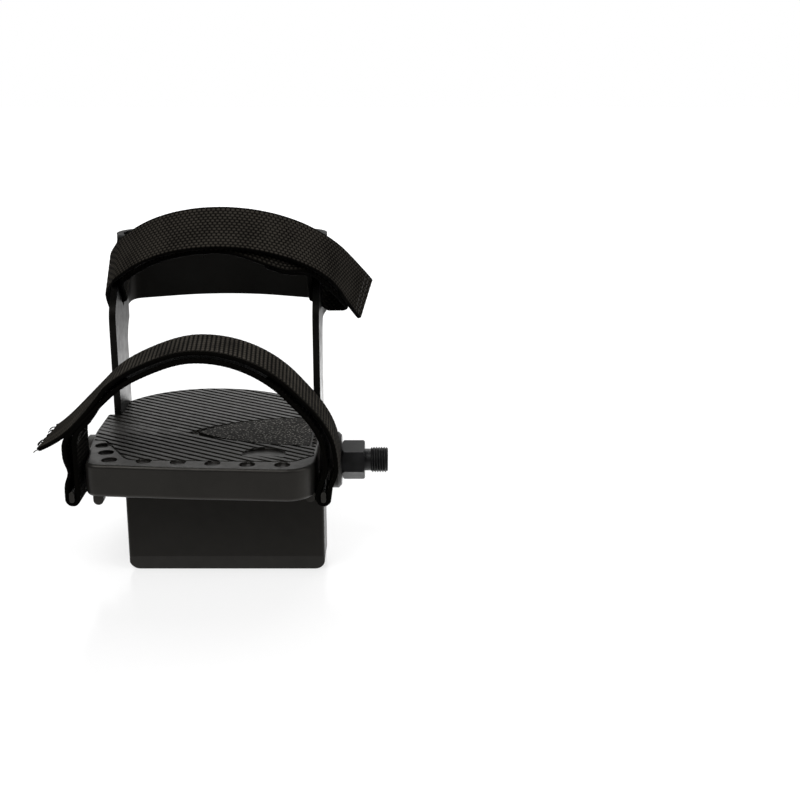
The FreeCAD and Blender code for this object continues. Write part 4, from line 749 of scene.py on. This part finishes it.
toePlace = Matrix.Translation((0, toe["middleY"] * mm, 0))
toeCorners, toeMiddle = toePaths(toe)
toeCentre = (toeMiddle, toe["archTop"] - toe["archRadius"])
toeRun = strapRun(roundedPath(toeCorners), toe["spacing"], toePlace, toeShape)
toeStrap, toeLength = layStrap("toeStrapWebbing", toeRun, toe["width"], toe["thick"], toeWebbingMat,
                               ribWeave)
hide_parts("toe_strap")
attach(toeStrap, "pedal")


# the tapes follow the arch but not its tail
def tapeShape(point, s):
    return toeShape(point, toe["tailRun"])


layTapes(toe, toeCentre, toePlace, tapeShape, (("toeHookTape", "toe_strap_hook_tape", hookMat),
                                               ("toeLoopTape", "toe_strap_loop_tape", loopMat)))
print("toe strap laid, %.0f mm of webbing" % toeLength)


# ankle strap

ankle = dict(width=25.0, thick=1.9, middleY=60.0, level=83.0, tilt=45.0, cupMiddle=-80.9, half=50.4,
             cupThick=3.5, barGap=0.7, barWidth=12.0, slot=4.6, turn=2.4, archTop=40.0, archRadius=67.0,
             archShift=4.9, sideAngle=46.0, soft=10.0, tailAngle=66.0, tailLength=27.7, seamAngle=38.0,
             seamSweep=14.0, tape=0.9, tapeGap=0.06, seam=0.95, tapeAngle=44.0, tapeWidth=21.0, spacing=0.575,
             columns=28, cadThick=2.0, slack=8.5, spread=2.6, slackReach=4.5, slackFrom=-2.0, slackTo=22.0,
             twist=3.1, twistShift=0.9, twistRun=55.0, droop=5.0, droopFrom=4.0, droopTo=36.0,
             lowerFrom=165.0, lowerTo=220.0)


def ankleShape(point, s):
    x, y, z = point
    across = x - ankle["cupMiddle"]
    if s < ankle["twistRun"]:
        # the free tail twists, its lower edge inwards
        turned = 1 - smoothStep(0.0, ankle["twistRun"], s)
        return Vector((x + turned * (ankle["twist"] * y / (ankle["width"] / 2) - ankle["twistShift"]), y, z))
    # the loops hang slack outside the cup's sides
    slack = smoothStep(0.0, ankle["slackReach"], abs(across) - ankle["half"])
    slack *= 1 - smoothStep(ankle["slackFrom"], ankle["slackTo"], z)
    # under the tail the lower layer slips forward between the arch and the cup
    slip = smoothStep(ankle["lowerFrom"], ankle["lowerTo"], s)
    slip *= smoothStep(ankle["droopFrom"], ankle["droopTo"], across)
    slip *= 1 - smoothStep(ankle["droopTo"], ankle["half"], across)
    aside = math.copysign(ankle["spread"] * slack, across)
    return Vector((x + aside, y - ankle["droop"] * slip, z - ankle["slack"] * slack))


def onArc(centre, radius, turn):
    return centre[0] + radius * math.sin(turn), centre[1] + radius * math.cos(turn)


def bendCorner(centre, radius, first, last):
    reach = radius / math.cos((first - last) / 2)
    return onArc(centre, reach, (first + last) / 2) + (radius,)


def anklePaths(t):
    middle = t["cupMiddle"]
    reach = t["barGap"] + t["cadThick"] / 2
    outside = t["half"] + t["cupThick"] + reach
    within = t["half"] - reach
    low = -t["barWidth"] / 2 - t["slot"] / 2
    step = t["cadThick"] + 2 * t["tape"] + 3 * t["tapeGap"]
    radius = t["archRadius"]
    centre = (middle + t["archShift"], t["archTop"] - radius)
    tailTurn = math.radians(t["tailAngle"])
    sideTurn = math.radians(t["sideAngle"])
    tail = onArc(centre, radius, tailTurn)
    side = onArc(centre, radius, -sideTurn)
    upper = [
        (tail[0] + t["tailLength"] * math.cos(tailTurn), tail[1] - t["tailLength"] * math.sin(tailTurn), 0),
        bendCorner(centre, radius, tailTurn, -sideTurn),
        (middle - outside, side[1] - (side[0] - middle + outside) * math.tan(sideTurn), t["soft"]),
    ]
    lower = shifted(upper, step)
    loose = lower[0][0] + (low - lower[0][1]) / math.tan(-tailTurn)
    main = upper + [
        (middle - outside, low, t["turn"]),
        (middle - within, low, t["turn"]),
        (middle - within, heightOn(lower[1], lower[2], middle - within), t["soft"]),
        lower[1],
        (loose, low, t["turn"]),
        (middle + within, low, t["turn"]),
    ]
    inner = radius - step - t["cadThick"] * t["seam"]
    start = math.radians(t["seamAngle"])
    end = start - math.radians(t["seamSweep"])
    rise = middle + within
    first = onArc(centre, inner, start)
    last = onArc(centre, inner, end)
    main += [
        (rise, first[1] - (rise - first[0]) * math.tan(start), t["soft"] / 2),
        bendCorner(centre, inner, start, end),
        (last[0] - t["turn"] * math.cos(end), last[1] + t["turn"] * math.sin(end), 0),
    ]
    return main, centre


anklePlace = (Matrix.Translation((0, ankle["middleY"] * mm, ankle["level"] * mm))
              @ Matrix.Rotation(math.radians(ankle["tilt"]), 4, "X"))
ankleCorners, ankleCentre = anklePaths(ankle)
ankleRun = strapRun(roundedPath(ankleCorners), ankle["spacing"], anklePlace, ankleShape)
ankleStrap, ankleLength = layStrap("ankleStrapWebbing", ankleRun, ankle["width"], ankle["thick"],
                                   ankleWebbingMat, dotWeave, ankle["columns"])
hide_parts("ankle_strap")
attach(ankleStrap, "pedal")
layTapes(ankle, ankleCentre, anklePlace, None, (("ankleHookTape", "ankle_strap_hook_tape", hookMat),
                                                ("ankleLoopTape", "ankle_strap_loop_tape", loopMat)))
print("ankle strap laid, %.0f mm of webbing" % ankleLength)


# sewing: beads of thread along seam lines, and loose threads at the cut end of the toe strap

sewing = dict(spacing=2.6 * mm, length=1.05 * mm, thickness=0.26 * mm, lift=0.12, hems=(4.0, 7.5),
              margin=2.0, seamFrom=15.0, seamTo=3.0, seamHalf=9.0, guideStep=0.5)
fray = dict(count=24, length=2.9 * mm, thickness=0.27 * mm, spread=0.8, shortest=0.3, longest=1.3, crowd=0.55,
            seed=11, widthShare=0.97, offMiddle=0.3, aimRun=4.0)


def geometryTree(name, inputs):
    tree = bpy.data.node_groups.new(name, "GeometryNodeTree")
    tree.interface.new_socket("Geometry", in_out="INPUT", socket_type="NodeSocketGeometry")
    for label, kind in inputs:
        tree.interface.new_socket(label, in_out="INPUT", socket_type="NodeSocket" + kind)
    tree.interface.new_socket("Geometry", in_out="OUTPUT", socket_type="NodeSocketGeometry")
    return tree, tree.nodes.new("NodeGroupInput").outputs, tree.nodes.new("NodeGroupOutput")


def joinUp(tree, *pairs):
    for source, target in pairs:
        tree.links.new(source, target)


# instances become one smooth mesh of one material
def finishTree(tree, geometry, given, end):
    real = tree.nodes.new("GeometryNodeRealizeInstances")
    smooth = tree.nodes.new("GeometryNodeSetShadeSmooth")
    paint = tree.nodes.new("GeometryNodeSetMaterial")
    joinUp(tree, (geometry, real.inputs["Geometry"]),
           (real.outputs[0], smooth.inputs[0]),
           (smooth.outputs[0], paint.inputs["Geometry"]),
           (given["Thread"], paint.inputs["Material"]),
           (paint.outputs[0], end.inputs[0]))


def stitchTree():
    tree, given, end = geometryTree("sewnStitches", (("Spacing", "Float"), ("Length", "Float"),
                                                     ("Thickness", "Float"), ("Thread", "Material")))
    curve = tree.nodes.new("GeometryNodeMeshToCurve")
    points = addNode(tree, "GeometryNodeCurveToPoints", mode="LENGTH")
    bead = addNode(tree, "GeometryNodeMeshUVSphere", in_Segments=8, in_Rings=6, in_Radius=1.0)
    along = addNode(tree, "FunctionNodeAlignRotationToVector", axis="Z")
    scale = tree.nodes.new("ShaderNodeCombineXYZ")
    place = tree.nodes.new("GeometryNodeInstanceOnPoints")
    joinUp(tree, (given["Geometry"], curve.inputs["Mesh"]),
           (curve.outputs["Curve"], points.inputs["Curve"]),
           (given["Spacing"], points.inputs["Length"]),
           (points.outputs["Tangent"], along.inputs["Vector"]),
           (given["Thickness"], scale.inputs["X"]),
           (given["Thickness"], scale.inputs["Y"]),
           (given["Length"], scale.inputs["Z"]),
           (points.outputs["Points"], place.inputs["Points"]),
           (bead.outputs["Mesh"], place.inputs["Instance"]),
           (along.outputs["Rotation"], place.inputs["Rotation"]),
           (scale.outputs["Vector"], place.inputs["Scale"]))
    finishTree(tree, place.outputs["Instances"], given, end)
    return tree


def frayTree():
    tree, given, end = geometryTree("frayedThreads", (
        ("Direction", "Vector"), ("Length", "Float"), ("Thickness", "Float"), ("Spread", "Float"),
        ("Shortest", "Float"), ("Longest", "Float"), ("Seed", "Int"), ("Thread", "Material")))
    bow = addNode(tree, "GeometryNodeCurveQuadraticBezier", in_Resolution=7, in_Start=(0.0, 0.0, -0.3),
                  in_Middle=(0.45, 0.1, 0.45), in_End=(-0.1, -0.15, 1.0))
    sized = tree.nodes.new("GeometryNodeTransform")
    evenly = tree.nodes.new("ShaderNodeCombineXYZ")
    ring = addNode(tree, "GeometryNodeCurvePrimitiveCircle", in_Resolution=5)
    tube = addNode(tree, "GeometryNodeCurveToMesh", in_Fill_Caps=True)
    along = addNode(tree, "FunctionNodeAlignRotationToVector", axis="Z")
    swing = addNode(tree, "FunctionNodeRandomValue", data_type="FLOAT_VECTOR")
    turned = tree.nodes.new("FunctionNodeEulerToRotation")
    aimed = addNode(tree, "FunctionNodeRotateRotation", rotation_space="LOCAL")
    reach = addNode(tree, "FunctionNodeRandomValue", data_type="FLOAT")
    place = tree.nodes.new("GeometryNodeInstanceOnPoints")
    for axis in ("X", "Y", "Z"):
        tree.links.new(given["Length"], evenly.inputs[axis])
    joinUp(tree, (bow.outputs["Curve"], sized.inputs["Geometry"]),
           (evenly.outputs["Vector"], sized.inputs["Scale"]),
           (given["Thickness"], ring.inputs["Radius"]),
           (sized.outputs["Geometry"], tube.inputs["Curve"]),
           (ring.outputs["Curve"], tube.inputs["Profile Curve"]),
           (given["Direction"], along.inputs["Vector"]),
           (mathNode(tree, "MULTIPLY", given["Spread"], -1.0), swing.inputs[0]),
           (given["Spread"], swing.inputs[1]),
           (given["Seed"], swing.inputs["Seed"]),
           (swing.outputs[0], turned.inputs["Euler"]),
           (along.outputs["Rotation"], aimed.inputs["Rotation"]),
           (turned.outputs["Rotation"], aimed.inputs["Rotate By"]),
           (given["Shortest"], reach.inputs[2]),
           (given["Longest"], reach.inputs[3]),
           (given["Seed"], reach.inputs["Seed"]),
           (given["Geometry"], place.inputs["Points"]),
           (tube.outputs["Mesh"], place.inputs["Instance"]),
           (aimed.outputs["Rotation"], place.inputs["Rotation"]),
           (reach.outputs[1], place.inputs["Scale"]))
    finishTree(tree, place.outputs["Instances"], given, end)
    return tree


# run the tree on a mesh of lines or points and keep only the mesh that it makes
def grownMesh(name, verts, edges, tree, values):
    mesh = bpy.data.meshes.new(name + "Guide")
    mesh.from_pydata([tuple(v) for v in verts], edges, [])
    guide = bpy.data.objects.new(name + "Guide", mesh)
    scene.collection.objects.link(guide)
    modifier = guide.modifiers.new("grow", "NODES")
    modifier.node_group = tree
    for item in tree.interface.items_tree:
        if item.in_out == "INPUT" and item.name in values:
            modifier[item.identifier] = values[item.name]
    depsgraph = bpy.context.evaluated_depsgraph_get()
    grown = bpy.data.meshes.new_from_object(guide.evaluated_get(depsgraph))
    grown.name = name
    bpy.data.objects.remove(guide)
    obj = bpy.data.objects.new(name, grown)
    scene.collection.objects.link(obj)
    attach(obj, "pedal")


# hems and a crossed box, as corners (s, w) drawn on the strap's face or on its back
def seamLines(run, length, face, back, width, hems):
    hemHalf = width / 2 - sewing["margin"]
    first = length - sewing["seamFrom"]
    last = length - sewing["seamTo"]
    side = sewing["seamHalf"]
    box = [(first, -side), (last, -side), (last, side), (first, side), (first, -side), (last, side)]
    lines = [([(s, -hemHalf), (s, hemHalf)], face) for s in hems]
    lines.append((box, back))
    lines.append(([(first, side), (last, -side)], back))
    verts = []
    edges = []
    for corners, n in lines:
        start = len(verts)
        for (s, w), (sNext, wNext) in zip(corners, corners[1:]):
            steps = max(1, round(math.hypot(sNext - s, wNext - w) / sewing["guideStep"]))
            for number in range(steps):
                share = number / steps
                verts.append(strapPoint(run, s + (sNext - s) * share, w + (wNext - w) * share, n))
        verts.append(strapPoint(run, *corners[-1], n))
        edges += [(number, number + 1) for number in range(start, len(verts) - 1)]
    return verts, edges


sewnTree = stitchTree()
for label, run, length, out, strap, hems in (
        ("toeStitches", toeRun, toeLength, 1, toe, ()),
        ("ankleStitches", ankleRun, ankleLength, -1, ankle, sewing["hems"])):
    face = out * (strap["thick"] / 2 + sewing["lift"])
    verts, edges = seamLines(run, length, face, -face, strap["width"], hems)
    grownMesh(label, verts, edges, sewnTree, {"Spacing": sewing["spacing"], "Length": sewing["length"],
                                              "Thickness": sewing["thickness"], "Thread": threadMat})
cutEnd = []
for number in range(fray["count"]):
    w = toe["width"] * ((number / (fray["count"] - 1)) ** fray["crowd"] - 0.5) * fray["widthShare"]
    side = 1 if number % 2 else -1
    cutEnd.append(strapPoint(toeRun, 0.0, w, side * toe["thick"] * fray["offMiddle"]))
tailWay = (strapPoint(toeRun, 0.0, 0.0, 0.0) - strapPoint(toeRun, fray["aimRun"], 0.0, 0.0)).normalized()
grownMesh("toeFrayedThreads", cutEnd, [], frayTree(), {
    "Direction": tuple(tailWay), "Length": fray["length"], "Thickness": fray["thickness"],
    "Spread": fray["spread"], "Shortest": fray["shortest"], "Longest": fray["longest"], "Seed": fray["seed"],
    "Thread": frayMat})
print("straps sewn")


# floor, light and camera

studio = dict(floorZ=-46.0, floorSize=6.0, floorColour=(0.36, 0.36, 0.36), floorRough=0.16, floorShine=0.4,
              floorGlow=0.65, fadeFrom=0.35, fadeTo=0.9, ambient=0.2, roomGlow=0.12, backdropGlow=0.9,
              backdropRise=(-0.1, 0.9), tableFront=0.65, tableGlow=2.3, tableRise=(-0.1, 0.15), tableFrom=0.3,
              tableTo=0.55, aim=(-0.07, 0.02, 0.03),
              key=dict(place=(-0.55, -0.75, 1.25), size=0.9, power=15.0),
              fill=dict(place=(0.95, -0.45, 0.75), size=0.8, power=7.0),
              rim=dict(place=(0.1, 0.95, 1.05), size=1.1, power=10.0),
              cameraPlace=(14.5, -629.2, 217.4), cameraTilt=16.5, lens=59.85, sensor=36.0, nearest=0.01)
white = (1.0, 1.0, 1.0, 1.0)
black = (0.0, 0.0, 0.0)


# which rays show a surface to the camera, and which ones show it mirrored
def rayKinds(tree):
    rays = tree.nodes.new("ShaderNodeLightPath").outputs
    seen = mathNode(tree, "MAXIMUM", rays["Is Camera Ray"], rays["Is Transmission Ray"])
    return seen, rays["Is Glossy Ray"]


def makeFloor(s):
    mat, tree, shader = newMaterial("studioFloor")
    coords = objectCoords(tree)
    # far from the pedal the floor goes over into plain white
    reach = addNode(tree, "ShaderNodeVectorMath", operation="LENGTH")
    tree.links.new(coords, reach.inputs[0])
    distance = reach.outputs["Value"]
    far = mapRange(tree, distance, s["fadeFrom"], s["fadeTo"], 0.0, 1.0)
    seen, glossy = rayKinds(tree)
    glow = mapRange(tree, far, 0.0, 1.0, s["floorGlow"], 1.0)
    # mirrored, the table is bright just behind the pedal and dim in front of it and further out
    table = mapRange(tree, axesOf(tree, coords)["Y"], *s["tableRise"], s["tableFront"], s["tableGlow"])
    fade = mapRange(tree, distance, s["tableFrom"], s["tableTo"], 1.0, s["roomGlow"])
    mirrored = mathNode(tree, "MULTIPLY", glossy, mathNode(tree, "MULTIPLY", table, fade))
    strength = mathNode(tree, "ADD", mathNode(tree, "MULTIPLY", seen, glow), mirrored)
    feed(tree, shader, {
        "Base Color": colourRamp(tree, far, (0.0, 1.0), s["floorColour"], black),
        "Roughness": s["floorRough"],
        "Specular IOR Level": s["floorShine"],
        "Emission Color": white,
        "Emission Strength": strength,
    })
    half = s["floorSize"] / 2
    z = s["floorZ"] * mm
    corners = [(-half, -half, z), (half, -half, z), (half, half, z), (-half, half, z)]
    floor = meshObject("studioFloor", corners, [(0, 1, 2, 3)], mat)


def makeWorld(s):
    world = bpy.data.worlds.new("studio")
    scene.world = world
    world.use_nodes = True
    tree = world.node_tree
    background = tree.nodes["Background"]
    seen, glossy = rayKinds(tree)
    # mirrored, the white backdrop stands behind the pedal and the room in front of it is dim
    behind = axesOf(tree, tree.nodes.new("ShaderNodeTexCoord").outputs["Generated"])["Y"]
    backdrop = mapRange(tree, behind, *s["backdropRise"], s["roomGlow"], s["backdropGlow"])
    mirrored = mathNode(tree, "MULTIPLY", glossy, mathNode(tree, "SUBTRACT", backdrop, s["ambient"]))
    strength = mathNode(tree, "ADD", mapRange(tree, seen, 0.0, 1.0, s["ambient"], 1.0), mirrored)
    feed(tree, background, {"Color": white, "Strength": strength})


def makeLights(s):
    for name in ("key", "fill", "rim"):
        lamp = s[name]
        light = bpy.data.lights.new(name + "Light", "AREA")
        light.shape = "SQUARE"
        light.size = lamp["size"]
        light.energy = lamp["power"]
        obj = bpy.data.objects.new(name + "Light", light)
        obj.location = lamp["place"]
        way = Vector(s["aim"]) - Vector(lamp["place"])
        obj.rotation_euler = way.to_track_quat("-Z", "Y").to_euler()
        scene.collection.objects.link(obj)


def makeCamera(s):
    camera = bpy.data.cameras.new("camera")
    camera.lens = s["lens"]
    camera.sensor_width = s["sensor"]
    camera.clip_start = s["nearest"]
    eye = bpy.data.objects.new("camera", camera)
    eye.location = Vector(s["cameraPlace"]) * mm
    eye.rotation_euler = (math.radians(90.0 - s["cameraTilt"]), 0, 0)
    scene.collection.objects.link(eye)
    scene.camera = eye
    scene.view_settings.view_transform = "Standard"


makeFloor(studio)
makeWorld(studio)
makeLights(studio)
makeCamera(studio)
print("studio set")
